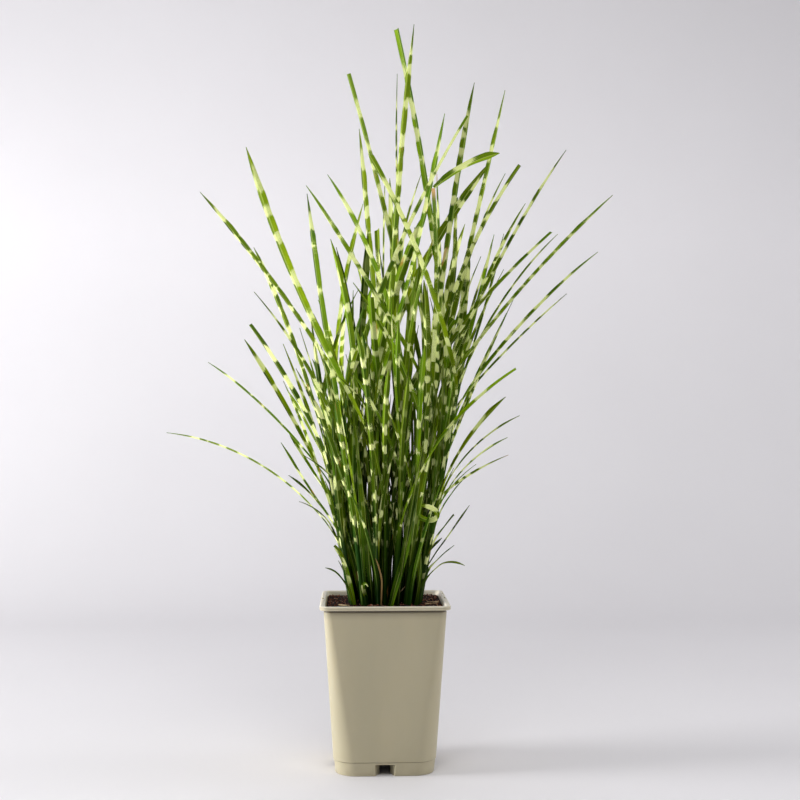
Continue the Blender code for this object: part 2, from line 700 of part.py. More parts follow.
def lying_on(thing, flat_points, radius):
    """Points at which a rod of this radius just lies on the thing."""
    tree = BVHTree.FromObject(thing, bpy.context.evaluated_depsgraph_get())
    heights = []
    for x, y in flat_points:
        for aside in (-radius, 0.0, radius):
            above = Vector((x * MM + aside, y * MM + aside, POT_HEIGHT))
            heights.append(tree.ray_cast(above, Vector((0, 0, -1)))[0].z)
    level = (max(heights) + radius + CLEARANCE) / MM
    return [(x, y, level) for x, y in flat_points]


def make_rod(name, points, radius, group, material):
    """A thin round stalk through a few points."""
    curve = bpy.data.curves.new(name, "CURVE")
    curve.dimensions = "3D"
    curve.bevel_depth = radius
    curve.bevel_resolution = ROD_ROUNDING
    curve.use_fill_caps = True
    line = curve.splines.new("POLY")
    line.points.add(len(points) - 1)
    for spot, point in zip(line.points, points):
        spot.co = (*(Vector(point) * MM), 1.0)
    rod = bpy.data.objects.new(name, curve)
    group.objects.link(rod)
    bpy.context.view_layer.update()
    result = rod.evaluated_get(bpy.context.evaluated_depsgraph_get())
    mesh = bpy.data.meshes.new_from_object(result)
    bm = bmesh.new()
    bm.from_mesh(mesh)
    bmesh.ops.remove_doubles(bm, verts=bm.verts, dist=0.01 * MM)
    bpy.data.meshes.remove(mesh)
    bpy.data.objects.remove(rod, do_unlink=True)
    return make_object(name, bm, group, material)


def main():
    clear_scene()
    parts = make_collection("potted_grass")
    cutters = make_collection("cutters")
    plastic = make_material("pot_plastic", (0.36, 0.31, 0.22), 0.42)
    compost = make_material("compost", (0.035, 0.02, 0.013), 0.95)
    leaf = make_material("grass", (0.11, 0.19, 0.02), 0.5)
    straw = make_material("straw", (0.55, 0.42, 0.24), 0.8)

    shoots = lay_out()
    make_pot(parts, cutters, plastic)
    soil = make_soil(parts, cutters, compost, shoots)
    for name, shoot in shoots.items():
        make_shoot(name, shoot, parts, leaf)
    make_rod("dead_stem", DEAD_STEM, DEAD_STEM_RADIUS, parts, straw)
    for name, flat_points in STRAWS.items():
        points = lying_on(soil, flat_points, STRAW_RADIUS)
        make_rod(name, points, STRAW_RADIUS, parts, straw)


main()
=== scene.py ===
# Potted zebra grass, dressed for close views: each leaf is a veined strip with cream cross bands
# that wraps its shoot and then arches out of it, over a moulded pot full of crumbly compost.
# Metres, +Z up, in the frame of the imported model: the ground is z = 0 and the front faces -Y.

import math
import random
from collections import namedtuple
from functools import partial

import bmesh
import bpy
import numpy as np
from mathutils import Matrix, Vector, noise


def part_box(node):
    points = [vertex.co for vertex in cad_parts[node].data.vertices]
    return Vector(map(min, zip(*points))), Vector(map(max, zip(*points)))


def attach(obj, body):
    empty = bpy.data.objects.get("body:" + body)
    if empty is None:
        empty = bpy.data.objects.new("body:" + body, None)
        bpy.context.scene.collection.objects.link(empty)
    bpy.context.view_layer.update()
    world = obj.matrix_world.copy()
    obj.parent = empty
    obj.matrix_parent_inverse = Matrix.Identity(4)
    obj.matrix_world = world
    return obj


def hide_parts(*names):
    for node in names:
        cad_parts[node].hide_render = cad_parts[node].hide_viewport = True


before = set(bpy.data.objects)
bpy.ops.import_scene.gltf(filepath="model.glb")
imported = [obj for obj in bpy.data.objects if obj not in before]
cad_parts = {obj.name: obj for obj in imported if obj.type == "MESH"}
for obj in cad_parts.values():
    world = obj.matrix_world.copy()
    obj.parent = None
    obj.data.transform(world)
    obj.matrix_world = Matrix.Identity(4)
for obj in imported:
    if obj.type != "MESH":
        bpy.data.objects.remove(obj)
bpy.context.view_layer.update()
mm = 0.001
fullTurn = 6.28     # radians
print("frame loaded:", len(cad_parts), "solids")


# small helpers

def hexColour(code):
    # sRGB hex to the linear colour that the shader wants
    channels = [int(code[i:i + 2], 16) / 255 for i in (1, 3, 5)]
    linear = [c / 12.92 if c <= 0.04045 else ((c + 0.055) / 1.055) ** 2.4 for c in channels]
    return (*linear, 1.0)


def addNode(tree, kind, inputs=(), **settings):
    # one node with its settings; an input is a value, a socket, or a node (its first output in use)
    prefix = next(p for p in ("ShaderNode", "GeometryNode", "FunctionNode", "Node")
                  if hasattr(bpy.types, p + kind))
    node = tree.nodes.new(prefix + kind)
    for name, value in settings.items():
        setattr(node, name, value)
    ready = [socket for socket in node.inputs if socket.enabled]
    pairs = inputs.items() if isinstance(inputs, dict) else enumerate(inputs)
    for key, value in pairs:
        socket = ready[key] if isinstance(key, int) else next(s for s in ready if s.name == key)
        if isinstance(value, bpy.types.Node):
            value = next(s for s in value.outputs if s.enabled)
        if isinstance(value, bpy.types.NodeSocket):
            tree.links.new(value, socket)
        else:
            socket.default_value = value
    return node


def newMaterial(name, **finish):
    # a Principled material; the finish gives the shader's own values
    material = bpy.data.materials.new(name)
    material.use_nodes = True
    tree = material.node_tree
    shader = tree.nodes["Principled BSDF"]
    for key, value in finish.items():
        shader.inputs[key.replace("_", " ")].default_value = value
    return material, partial(addNode, tree), shader


def setFinish(material, shader, colour, roughness, bump):
    # link what varies over the surface to the shader
    links = material.node_tree.links
    for value, name in ((colour, "Base Color"), (roughness, "Roughness"), (bump, "Normal")):
        if value:
            links.new(next(s for s in value.outputs if s.enabled), shader.inputs[name])
    return material


def linked(name, data):
    # a new object in the scene
    thing = bpy.data.objects.new(name, data)
    bpy.context.scene.collection.objects.link(thing)
    return thing


def meshOf(name, bm):
    mesh = bpy.data.meshes.new(name)
    bm.to_mesh(mesh)
    bm.free()
    return mesh


def newPiece(name, bm, material, smoothBelow=40):
    # a mesh piece with its faces turned outwards, smooth where it bends by less than this angle
    bmesh.ops.recalc_face_normals(bm, faces=bm.faces)
    if bm.calc_volume(signed=True) < 0:
        bmesh.ops.reverse_faces(bm, faces=bm.faces)
    mesh = meshOf(name, bm)
    mesh.materials.append(material)
    mesh.shade_smooth()
    mesh.set_sharp_from_angle(angle=math.radians(smoothBelow))
    return linked(name, mesh)


def loft(rings, bm=None):
    # a closed body through rings that have the same number of points
    if bm is None:
        bm = bmesh.new()
    rows = [[bm.verts.new(point) for point in ring] for ring in rings]
    count = len(rows[0])
    for low, high in zip(rows, rows[1:]):
        for i in range(count):
            j = (i + 1) % count
            bm.faces.new((low[i], low[j], high[j], high[i]))
    bm.faces.new(reversed(rows[0]))
    bm.faces.new(rows[-1])
    return bm


def keepResult(piece, modifier):
    # what the modifier makes of the piece becomes its plain mesh
    bpy.context.view_layer.update()
    result = piece.evaluated_get(bpy.context.evaluated_depsgraph_get())
    mesh = bpy.data.meshes.new_from_object(result)
    piece.modifiers.remove(modifier)
    old = piece.data
    piece.data = mesh
    bpy.data.meshes.remove(old)


def runTree(piece, tree, values):
    # put a Geometry Nodes tree on the piece, set its inputs by identifier, and keep the result
    modifier = piece.modifiers.new(tree.name, "NODES")
    modifier.node_group = tree
    for item in tree.interface.items_tree:
        if item.item_type == "SOCKET" and item.in_out == "INPUT" and item.name in values:
            modifier[item.identifier] = values[item.name]
    keepResult(piece, modifier)


def combine(piece, bm, operation="DIFFERENCE"):
    # cut another body out of the piece, or join it on
    tool = newPiece("cutter", bm, piece.data.materials[0])
    modifier = piece.modifiers.new("combine", "BOOLEAN")
    modifier.object = tool
    modifier.operation = operation
    modifier.solver = "EXACT"
    keepResult(piece, modifier)
    bpy.data.objects.remove(tool, do_unlink=True)


def newTree(name, sockets):
    # sockets: (name, kind, value) of each input after the geometry
    tree = bpy.data.node_groups.new(name, "GeometryNodeTree")
    tree.interface.new_socket("Geometry", in_out="INPUT", socket_type="NodeSocketGeometry")
    for label, kind, value in sockets:
        socket = tree.interface.new_socket(label, in_out="INPUT", socket_type=kind)
        if value is not None:
            socket.default_value = value
    tree.interface.new_socket("Geometry", in_out="OUTPUT", socket_type="NodeSocketGeometry")
    return tree, addNode(tree, "GroupInput"), addNode(tree, "GroupOutput")


def settle(piece, slot, *nodes):
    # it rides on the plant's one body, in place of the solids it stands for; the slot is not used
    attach(piece, "root")
    if nodes:
        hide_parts(*nodes)


# where the plant stands and how its leaves are laid out, as in the solids

plant = {
    "soilTop": 193.5 * mm,
    "soilLump": 2.6 * mm,
    "pocketFloor": 172 * mm,
    "fanDepth": 210 * mm,       # the shoots fan out from this far under the compost
    "stemWide": 4.3 * mm,
    "stemTopShare": 0.6,
    "stemOver": 12 * mm,
    "core": 2.7 * mm,           # radius of the rolled leaves inside a shoot
    "eye": np.array((-36 * mm, -1500 * mm, 400 * mm)),  # the front view is laid out from here
}

# a leaf's row, in mm: the height where it leaves the shoot; the places of its middle and its tip
# as they show from the front (right, up); the tip's depth; its width; the share of the width
# that shows from the front (a minus turns the other edge forward); True where the tip was cut
LeafRow = namedtuple("LeafRow", "leaves midX midZ tipX tipZ depth width face cut",
                     defaults=(False,))
folded = 0      # in place of that height: the row before goes on, bent over at its tip

shootRows = {
    "shoot_01": ((-37, -20), (
        (362, -105, 441, -165, 534, -70, 8, 0.7, True),
        (285, -99, 345, -126, 390, -60, 6, 0.6),
        (232, -54, 256, -61, 264, -34, 5, 0.7, True),
        (212, -58, 231, -72, 237, -44, 3, 0.6))),
    "shoot_02": ((-39, -5), (
        (270, -149, 361, -265, 402, 118, 4, 0.6),
        (316, -113, 418, -171, 516, -30, 7, -0.6),
        (330, -66, 430, -78, 510, -20, 7, 0.7),
        (262, -84, 308, -104, 318, -20, 4, 0.5))),
    "shoot_03": ((-37, 9), (
        (336, -149, 434, -215, 488, 60, 5, 0.5),
        (366, -120, 535, -160, 629, 70, 7, 0.55),
        (308, -98, 371, -118, 405, 40, 7, -0.6),
        (214, -49, 234, -56, 246, 20, 3, 0.6))),
    "shoot_04": ((-35, 23), (
        (334, -56, 513, -26, 684, 96, 7, 0.55),
        (345, -92, 407, -117, 452, 80, 6, 0.6),
        (262, -92, 329, -117, 350, 66, 5, -0.5),
        (388, -76, 450, -88, 492, 150, 5, 0.4))),
    "shoot_05": ((-24, -28), (
        (330, -77, 556, -95, 696, -96, 9, 0.6),
        (430, -4, 580, 102, 795, -92, 8, 0.6, True),
        (300, -62, 380, -92, 452, -150, 7, 0.8),
        (280, -50, 372, -60, 440, -180, 9, 0.8))),
    "shoot_06": ((-25, -13), (
        (352, -50, 430, -24, 560, -40, 7, 0.55),
        (340, -40, 500, -66, 640, -60, 8, 0.6))),
    "shoot_07": ((-24, 2), (
        (352, -42, 470, -38, 577, 30, 5, -0.4),
        (300, -60, 410, -70, 520, 60, 8, 0.7),
        (330, -30, 500, -20, 650, 10, 9, -0.7))),
    "shoot_08": ((-25, 16), (
        (352, -56, 470, -81, 565, 150, 7, 0.5),
        (330, -38, 450, -12, 590, 176, 9, 0.8))),
    "shoot_09": ((-23, 30), (
        (340, -50, 450, -46, 560, 200, 8, 0.7),
        (300, -40, 400, -46, 470, 150, 8, -0.75))),
    "shoot_10": ((-8, -31), (
        (396, -90, 540, -170, 753, -110, 10, 0.62),
        (420, 44, 645, 75, 797, -70, 7, 0.55),
        (320, -20, 430, -34, 530, -210, 10, 0.85))),
    "shoot_11": ((1, -21), (
        (384, -9, 480, -17, 569, -110, 12, 0.98, True),
        (384, 11, 640, 37, 908, -30, 9, 0.65),
        (300, 0, 400, 6, 480, -150, 10, 0.85))),
    "shoot_12": ((-9, -10), (
        (392, -111, 549, -226, 697, -20, 7, 0.53),
        (362, -35, 406, -60, 440, -50, 4, 0.4),
        (420, 11, 570, 54, 678, -50, 11, 0.9),
        (330, -18, 440, -28, 530, -120, 9, 0.8))),
    "shoot_13": ((0, 1), (
        (392, -15, 585, -31, 777, 40, 8, 0.6),
        (386, 42, 470, 86, 542, -10, 12, 0.95, True),
        (380, -4, 540, -8, 652, 90, 9, 0.6, True),
        (360, 12, 540, 28, 668, 20, 9, 0.7))),
    "shoot_14": ((-8, 12), (
        (400, -36, 520, -59, 630, 90, 6, -0.4),
        (430, 38, 584, 131, 736, 60, 11, 0.75),
        (330, -10, 430, -20, 510, 170, 9, 0.8),
        (380, -4, 500, 10, 610, 150, 9, 0.8))),
    "shoot_15": ((1, 24), (
        (400, 0, 560, 1, 715, 140, 4, 0.3),
        (430, 8, 560, 46, 722, 110, 5, 0.35),
        (340, 2, 470, -6, 600, 205, 10, 0.85))),
    "shoot_16": ((12, -27), (
        (345, -2, 410, -38, 475, -110, 8, 0.6),
        (404, 30, 520, 60, 640, -120, 8, 0.5),
        (300, 22, 400, 30, 470, -170, 10, 0.85))),
    "shoot_17": ((13, -7), (
        (394, 14, 590, 7, 716, 0, 9, 0.7),
        (444, -12, 604, -70, 720, -40, 8, 0.55),
        (330, 16, 440, 18, 540, -130, 10, 0.8),
        (380, 30, 500, 44, 610, -60, 9, 0.8))),
    "shoot_18": ((12, 14), (
        (400, 17, 640, 16, 846, 60, 5, 0.35),
        (440, 104, 544, 208, 650, 50, 8, 0.55, True),
        (320, 18, 420, 26, 500, 170, 10, 0.8),
        (360, 30, 500, 40, 620, 120, 9, 0.8))),
    "shoot_19": ((26, -27), (
        (440, -14, 575, -96, 706, -100, 8, 0.55),
        (330, 52, 455, 49, 590, -120, 12, 0.85),
        (300, 42, 410, 50, 510, -180, 9, 0.8),
        (372, 106, 434, 163, 480, -76, 8, 0.55, True),
        (420, 80, 640, 112, 836, -60, 8, -0.6),
        (430, 66, 590, 62, 704, -90, 9, 0.7, True),
        (folded, 98, 731, 143, 748, -120, 8, 0.7))),
    "shoot_20": ((28, -12), (
        (410, 12, 625, -45, 845, -50, 8, 0.6, True),
        (424, 132, 592, 226, 753, -30, 7, 0.5),
        (410, 94, 590, 169, 733, -80, 8, 0.6, True))),
    "shoot_21": ((26, 3), (
        (420, 106, 625, 150, 827, 40, 8, 0.6),
        (428, 153, 558, 284, 697, 10, 7, 0.45),
        (400, 80, 545, 90, 644, 90, 9, 0.7))),
    "shoot_22": ((28, 17), (
        (430, 118, 650, 150, 723, 90, 5, 0.3),
        (330, 56, 470, 72, 600, 190, 10, 0.8),
        (350, 68, 480, 92, 590, 110, 9, 0.8),
        (300, 46, 400, 40, 480, 160, 9, 0.8),
        (400, 72, 540, 100, 660, 150, 9, 0.7))),
    "shoot_23": ((39, -20), (
        (450, 60, 570, -17, 743, -140, 8, 0.55, True),
        (320, 107, 399, 150, 446, -60, 7, 0.6),
        (300, 97, 355, 152, 396, -70, 3.5, 0.5),
        (258, 72, 285, 86, 301, -44, 6, 0.7, True),
        (224, 76, 243, 99, 239, -50, 3, 0.6))),
    "shoot_24": ((41, -5), (
        (424, 56, 690, 16, 902, -30, 9, 0.7, True),
        (430, 167, 533, 265, 626, -20, 7, 0.5),
        (315, 107, 380, 167, 423, -30, 3.5, 0.5),
        (285, 80, 324, 96, 343, -24, 4, 0.5),
        (236, 66, 248, 86, 264, -8, 3, 0.4))),
    "shoot_25": ((39, 10), (
        (400, 72, 560, 65, 722, 60, 7, 0.5),
        (440, 140, 554, 215, 648, 50, 5, 0.35),
        (400, 104, 510, 136, 647, 70, 7, 0.5),
        (232, 78, 275, 105, 313, 10, 4, 0.5))),
    "shoot_26": ((37, 25), (
        (392, 94, 520, 104, 628, 130, 12, 0.95),
        (430, 120, 570, 175, 686, 120, 8, 0.55),
        (412, 148, 500, 226, 574, 100, 5, 0.35),
        (390, 114, 520, 148, 648, 150, 5, 0.4),
        (330, 90, 450, 104, 540, 100, 8, 0.8),
        (246, 60, 263, 71, 273, 46, 4, 0.5))),
}

spread = {
    "rootShare": 0.6,           # width of a leaf where it leaves the shoot
    "rootLength": 0.25,         # share of its length over which it widens
    "taperLength": 0.22,        # and over which it tapers to its tip
    "taperPower": 0.75,
    "cutNarrowing": 0.2,        # a leaf with a cut tip narrows by this share only
    "tipWidth": 0.8 * mm,
    "keelShare": 0.14,          # depth of the fold as a share of the width, between these limits
    "keelLeast": 0.9 * mm,
    "keelMost": 0.45,
    "keelFall": 0.3,            # how far below the horizontal a leaf's back looks
    "midDepthShare": 0.42,      # share of its depth that a leaf has reached at its middle
    "between": 1.6 * mm,        # clear depth between two leaves that cross
    "beside": 3.5 * mm,         # leaves closer than this in the front view have to clear each other
    "boxMargin": 12 * mm,
    "shownMargin": 0.4 * mm,
    "stemShown": 0.75,
    "samples": 56,              # points along each leaf
    "ownRoot": 16,              # of which the first ones may touch their own shoot
    "rounds": 260,              # at most, or until no gap is short by more than "enough"
    "enough": 0.05 * mm,
    "step": 8 * mm,
    "leastPull": 1e-4,
}
# which of the four control points of a curve may move in depth
fixed = (0, 0, 0, 0)
bendsOnly = (0, 1, 1, 0)
bendsAndTip = (0, 1, 1, 1)


class Shoot:
    # where it stands, the rows of its leaves and, once laid out, their curves; and how thick it is
    # at each height
    def __init__(self, foot, rows, core=plant["core"]):
        self.foot = np.array((foot[0] * mm, foot[1] * mm))
        self.rows = [LeafRow(*row) for row in rows]
        self.core = core
        self.curves = []
        self.top = max(row.leaves for row in self.rows) * mm + plant["stemOver"]

    def centre(self, height):
        share = 1 + (height - plant["soilTop"]) / plant["fanDepth"]
        return np.array((self.foot[0] * share, self.foot[1] * share, height))

    def size(self, height):
        share = max(0.0, (height - plant["soilTop"]) / (self.top - plant["soilTop"]))
        return 1 - (1 - plant["stemTopShare"]) * share


def toView(point):
    # (right, up, depth) of a place as it shows from the front
    eye = plant["eye"]
    share = 1 + point[1] / -eye[1]
    return np.array((eye[0] + (point[0] - eye[0]) / share, eye[2] + (point[2] - eye[2]) / share,
                     point[1]))


def fromView(places):
    # and back again
    eye = plant["eye"]
    share = 1 + places[:, 2] / -eye[1]
    return np.stack((eye[0] + (places[:, 0] - eye[0]) * share, places[:, 2],
                     eye[2] + (places[:, 1] - eye[2]) * share), 1)


def bezierWeights(t):
    t = np.asarray(t, float)
    return np.stack([(1 - t) ** 3, 3 * t * (1 - t) ** 2, 3 * t * t * (1 - t), t ** 3], -1)


def leafControls(shoot, row, fold):
    # the four control points of a leaf's curve, as it shows from the front
    first = toView(shoot.centre(row.leaves * mm)) if fold is None else fold
    tip = np.array((row.tipX, row.tipZ, row.depth)) * mm
    middle = np.array((row.midX * mm, row.midZ * mm, 0.0))
    middle[2] = first[2] + (tip[2] - first[2]) * spread["midDepthShare"]
    reach = np.linalg.norm(middle - first)
    t = reach / (reach + np.linalg.norm(tip - middle))
    bend = (middle - (1 - t) ** 2 * first - t * t * tip) / (2 * t * (1 - t))
    return np.array((first, (first + 2 * bend) / 3, (tip + 2 * bend) / 3, tip))


def leafWidth(row, t, taper=spread["taperLength"]):
    grow = np.clip(t / spread["rootLength"], 0, 1)
    share = spread["rootShare"] + (1 - spread["rootShare"]) * grow * grow * (3 - 2 * grow)
    if row.cut:
        share = share * (1 - spread["cutNarrowing"] * np.clip(2 * t - 1, 0, 1))
    else:
        share = share * np.clip((1 - t) / taper, 0, 1) ** spread["taperPower"]
    return np.maximum(row.width * mm * share, spread["tipWidth"])


def keelDepth(width):
    # how deep the folded leaf is
    deep = np.maximum(spread["keelShare"] * width, spread["keelLeast"])
    return np.minimum(deep, spread["keelMost"] * width)


class Course:
    # one leaf or stem as it shows from the front, sampled from its foot to its tip
    def __init__(self, name, controls, widths, shown, free):
        self.name = name
        self.controls = controls
        self.free = np.array(free)
        self.weights = bezierWeights(np.linspace(0, 1, spread["samples"]))
        self.flat = self.weights @ controls[:, :2]
        self.halfShown = 0.5 * widths * shown + spread["shownMargin"]
        turned = math.sqrt(max(0.0, 1 - shown * shown))
        self.halfDeep = 0.5 * widths * turned + keelDepth(widths)

    def depths(self):
        return self.weights @ self.controls[:, 2]


def crossings(courses):
    # where two courses pass over one another in the front view, and how deep that needs
    found = []
    margin = spread["boxMargin"]
    for a, one in enumerate(courses):
        for b in range(a + 1, len(courses)):
            two = courses[b]
            if not (one.free.any() or two.free.any()):
                continue
            if (one.flat.min(0) - margin > two.flat.max(0)).any():
                continue
            if (two.flat.min(0) - margin > one.flat.max(0)).any():
                continue
            gaps = np.linalg.norm(one.flat[:, None] - two.flat[None], axis=2)
            near = gaps - one.halfShown[:, None] - two.halfShown[None] < spread["beside"]
            if one.name == two.name:
                near[:spread["ownRoot"]] = False
                near[:, :spread["ownRoot"]] = False
            if not near.any():
                continue
            apart = (one.depths()[:, None] - two.depths()[None])[near]
            sign = 1.0 if apart.mean() >= 0 else -1.0
            best = {}
            for i, j in np.argwhere(near):
                if i not in best or gaps[i, j] < gaps[i, best[i]]:
                    best[i] = j
            for i, j in best.items():
                need = one.halfDeep[i] + two.halfDeep[j] + spread["between"]
                found.append((a, b, i, j, need, sign))
    return found


def spreadApart(courses):
    # move leaves back or forward until none runs through another
    a, b, i, j, need, sign = (np.array(column) for column in zip(*crossings(courses)))
    for _ in range(spread["rounds"]):
        depths = np.stack([course.depths() for course in courses])
        lack = need - sign * (depths[a, i] - depths[b, j])
        short = np.nonzero(lack > spread["enough"])[0]
        if not len(short):
            break
        for k in short:
            one = courses[a[k]]
            two = courses[b[k]]
            here = one.weights[i[k]]
            there = two.weights[j[k]]
            gap = sign[k] * (here @ one.controls[:, 2] - there @ two.controls[:, 2])
            miss = need[k] - gap
            if miss <= 0:
                continue
            pull = here * one.free
            push = there * two.free
            total = pull @ pull + push @ push
            if total < spread["leastPull"]:
                continue
            step = min(miss / total, spread["step"] / math.sqrt(total)) * sign[k]
            one.controls[:, 2] += step * pull
            two.controls[:, 2] -= step * push


thicket = {
    "seed": 12,
    "depth": 24,                # mm that a leaf may end before or behind its shoot
    "besideBend": 0.36,         # share of its lean at its middle
    "besideFace": (0.5, 0.95),
    "low": 2,                   # short leaves low on each shoot, beside its sheath
    "lowLeaves": (202, 300),    # mm, where they leave the shoot
    "lowRise": (80, 200),
    "lowAside": (5, 30),
    "lowWidth": (4.5, 7.5),
    "face": (0.45, 0.95),       # how much of a leaf's width shows from the front
    "along": (0.5, 0.45),       # share of the leaves with a shorter one next to it: inside, outside
    "alongFrom": 290,           # mm, only beside leaves that leave the shoot higher than this
    "alongLowest": 204,
    "alongBelow": (25, 95),     # mm lower on the shoot
    "alongShare": (0.5, 0.9),   # of its neighbour's length
    "alongAside": 38,
    "alongBend": 0.45,          # share of that at its middle, which sags a little
    "alongSag": 12,
    "alongRise": (-22, 8),
    "alongDepth": 30,
    "alongWidth": (3.5, 6),
    "crossing": ((0, 1, 1), (0, 1)),    # leaves that cross neighbouring shoots: inside, outside
    "crossLeaves": (270, 430),
    "crossRise": (80, 200),
    "crossAside": (30, 110),
    "crossDepth": (20, 80),     # mm further out than its shoot
    "crossStray": 10,
    "crossWidth": (3.5, 6.5),
    "middle": 30,               # mm, shoots that stand further aside than this lean inwards
    "tillers": 2,               # young side shoots that come out of the compost beside each shoot
    "tillerApart": (5.5, 7.5),
    "tillerFan": 0.6,           # radians to either side of straight in front or behind
    # and more of them in the wider gaps
    "gapFeet": ((-15, 6), (-18.5, -21), (-14.5, -23), (-18, 23), (-16, -5), (20, 5), (21.5, 25),
                (20.5, -5), (20, 14), (-3, 30), (7, 20), (-31, 23), (32, 25), (5, 9)),
    "tillerLeaves": ((204, 232), (236, 300)),
    "tillerRise": (110, 260),
    "tillerAside": 42,
    "tillerDepth": 34,
    "tillerWidth": (4.5, 7.5),
    "tillerCore": 2.1 * mm,
    "cut": 0.12,                # share with a cut tip
    "taper": 0.6,               # these leaves taper over more of their length
    "deepest": 165 * mm,
}


def besideRow(shoot, rng, leaves, rise, aside, width, depth=thicket["depth"]):
    # a leaf that rises next to its own shoot and then leans a little away from it
    end = toView(shoot.centre((leaves + rise) * mm)) / mm
    half = toView(shoot.centre((leaves + rise / 2) * mm)) / mm
    turned = rng.choice((-1, 1)) * rng.uniform(*thicket["besideFace"])
    return LeafRow(leaves, half[0] + thicket["besideBend"] * aside, half[1], end[0] + aside, end[1],
                   end[2] + rng.uniform(-depth, depth), width, turned)


def thicketRows(shoot, rng):
    # more leaves between the ones of the solids: each keeps beside its shoot or beside a leaf of
    # it, and ends short of that leaf's tip
    form = thicket
    rows = []

    def pick(name):
        return rng.uniform(*form[name])

    x, y = shoot.foot / mm
    inwards = -math.copysign(1, x)
    outer = abs(x) > form["middle"]
    for number in range(form["low"]):
        side = inwards if outer else (-1, 1)[number % 2]
        leaves = pick("lowLeaves")
        rise = pick("lowRise")
        aside = side * pick("lowAside")
        rows.append(besideRow(shoot, rng, leaves, rise, aside, pick("lowWidth")))
    for _ in range(rng.choice(form["crossing"][outer])):
        leaves = pick("crossLeaves")
        side = inwards if outer else rng.choice((-1, 1))
        rise = pick("crossRise")
        aside = side * pick("crossAside")
        width = pick("crossWidth")
        row = besideRow(shoot, rng, leaves, rise, aside, width, form["crossStray"])
        deeper = math.copysign(pick("crossDepth"), y)
        rows.append(row._replace(depth=row.depth + deeper))
    for row, course in zip(shoot.rows, shoot.curves):
        if row.leaves < form["alongFrom"] or rng.random() > form["along"][outer]:
            continue
        leaves = max(form["alongLowest"], row.leaves - pick("alongBelow"))
        share = pick("alongShare")
        aside = rng.uniform(-1, 1) * form["alongAside"]
        tip = bezierWeights(share) @ course.controls / mm
        half = bezierWeights(share / 2) @ course.controls / mm
        width = pick("alongWidth")
        rise = pick("alongRise")
        depth = rng.uniform(-form["alongDepth"], form["alongDepth"])
        face = rng.choice((-1, 1)) * pick("face")
        rows.append(LeafRow(leaves, half[0] + form["alongBend"] * aside, half[1] - form["alongSag"],
                            tip[0] + aside, tip[1] + rise, tip[2] + depth, width, face,
                            rng.random() < form["cut"]))
    return rows


def tillersOf(shoot, rng, nearest):
    # the young side shoots close to a shoot, with two short leaves each
    form = thicket
    tillers = []
    outer = abs(shoot.foot[0] / mm) > form["middle"]
    feet = []
    for number in range(form["tillers"]):
        angle = math.pi * (number + 0.5) + rng.uniform(-form["tillerFan"], form["tillerFan"])
        reach = rng.uniform(*form["tillerApart"]) * np.array((math.cos(angle), math.sin(angle)))
        if outer:
            reach[0] = -abs(reach[0]) * math.copysign(1, shoot.foot[0])
        feet.append(shoot.foot / mm + reach)
    feet += [foot for foot in form["gapFeet"] if nearest(foot) is shoot]
    for foot in feet:
        heights = [rng.uniform(*span) for span in form["tillerLeaves"]]
        tiller = Shoot(foot, [LeafRow(h, 0, 0, 0, 0, 0, 0, 0) for h in heights],
                       form["tillerCore"])
        for index, height in enumerate(heights):
            aside = rng.uniform(-1, 1) * form["tillerAside"]
            if outer:
                aside = -abs(aside) * math.copysign(1, shoot.foot[0])
            rise = rng.uniform(*form["tillerRise"])
            width = rng.uniform(*form["tillerWidth"])
            tiller.rows[index] = besideRow(tiller, rng, height, rise, aside, width,
                                           form["tillerDepth"])
        tillers.append(tiller)
    return tillers


def layOut():
    # every shoot with the settled curves of its leaves: first those of the solids, which then stay
    # put while the leaves between them find their depth
    shoots = {name: Shoot(foot, rows) for name, (foot, rows) in shootRows.items()}
    samples = np.linspace(0, 1, spread["samples"])
    courses = []
    for name, shoot in shoots.items():
        ends = toView(shoot.centre(plant["pocketFloor"])), toView(shoot.centre(shoot.top))
        stem = np.linspace(ends[0], ends[1], 4)
        widths = np.full(spread["samples"], 2 * plant["stemWide"])
        courses.append(Course(name, stem, widths, spread["stemShown"], fixed))
    for name, shoot in shoots.items():
        for row in shoot.rows:
            fold = None
            if row.leaves == folded:
                shoot.curves[-1].free = np.array(bendsOnly)
                fold = shoot.curves[-1].controls[3]
            widths = leafWidth(row, samples)
            controls = leafControls(shoot, row, fold)
            course = Course(name, controls, widths, abs(row.face), bendsAndTip)
            shoot.curves.append(course)
            courses.append(course)
    spreadApart(courses)
    for course in courses:
        course.free = np.array(fixed)
    rng = random.Random(thicket["seed"])
    added = []

    def nearest(foot):
        return min(shoots.values(), key=lambda shoot: math.dist(shoot.foot / mm, foot))

    for name, shoot in shoots.items():
        shoot.tillers = tillersOf(shoot, rng, nearest)
        shoot.between = thicketRows(shoot, rng)
        for carrier, rows in [(shoot, shoot.between)] + [(t, t.rows) for t in shoot.tillers]:
            for row in rows:
                widths = leafWidth(row, samples, thicket["taper"])
                course = Course(name, leafControls(carrier, row, None), widths, abs(row.face),
                                bendsAndTip)
                carrier.curves.append(course)
                added.append(course)
    spreadApart(courses + added)
    for course in added:
        course.controls[:, 2] = course.controls[:, 2].clip(-thicket["deepest"], thicket["deepest"])
    return shoots


# leaves: the path of each one, then the tree that sweeps its section

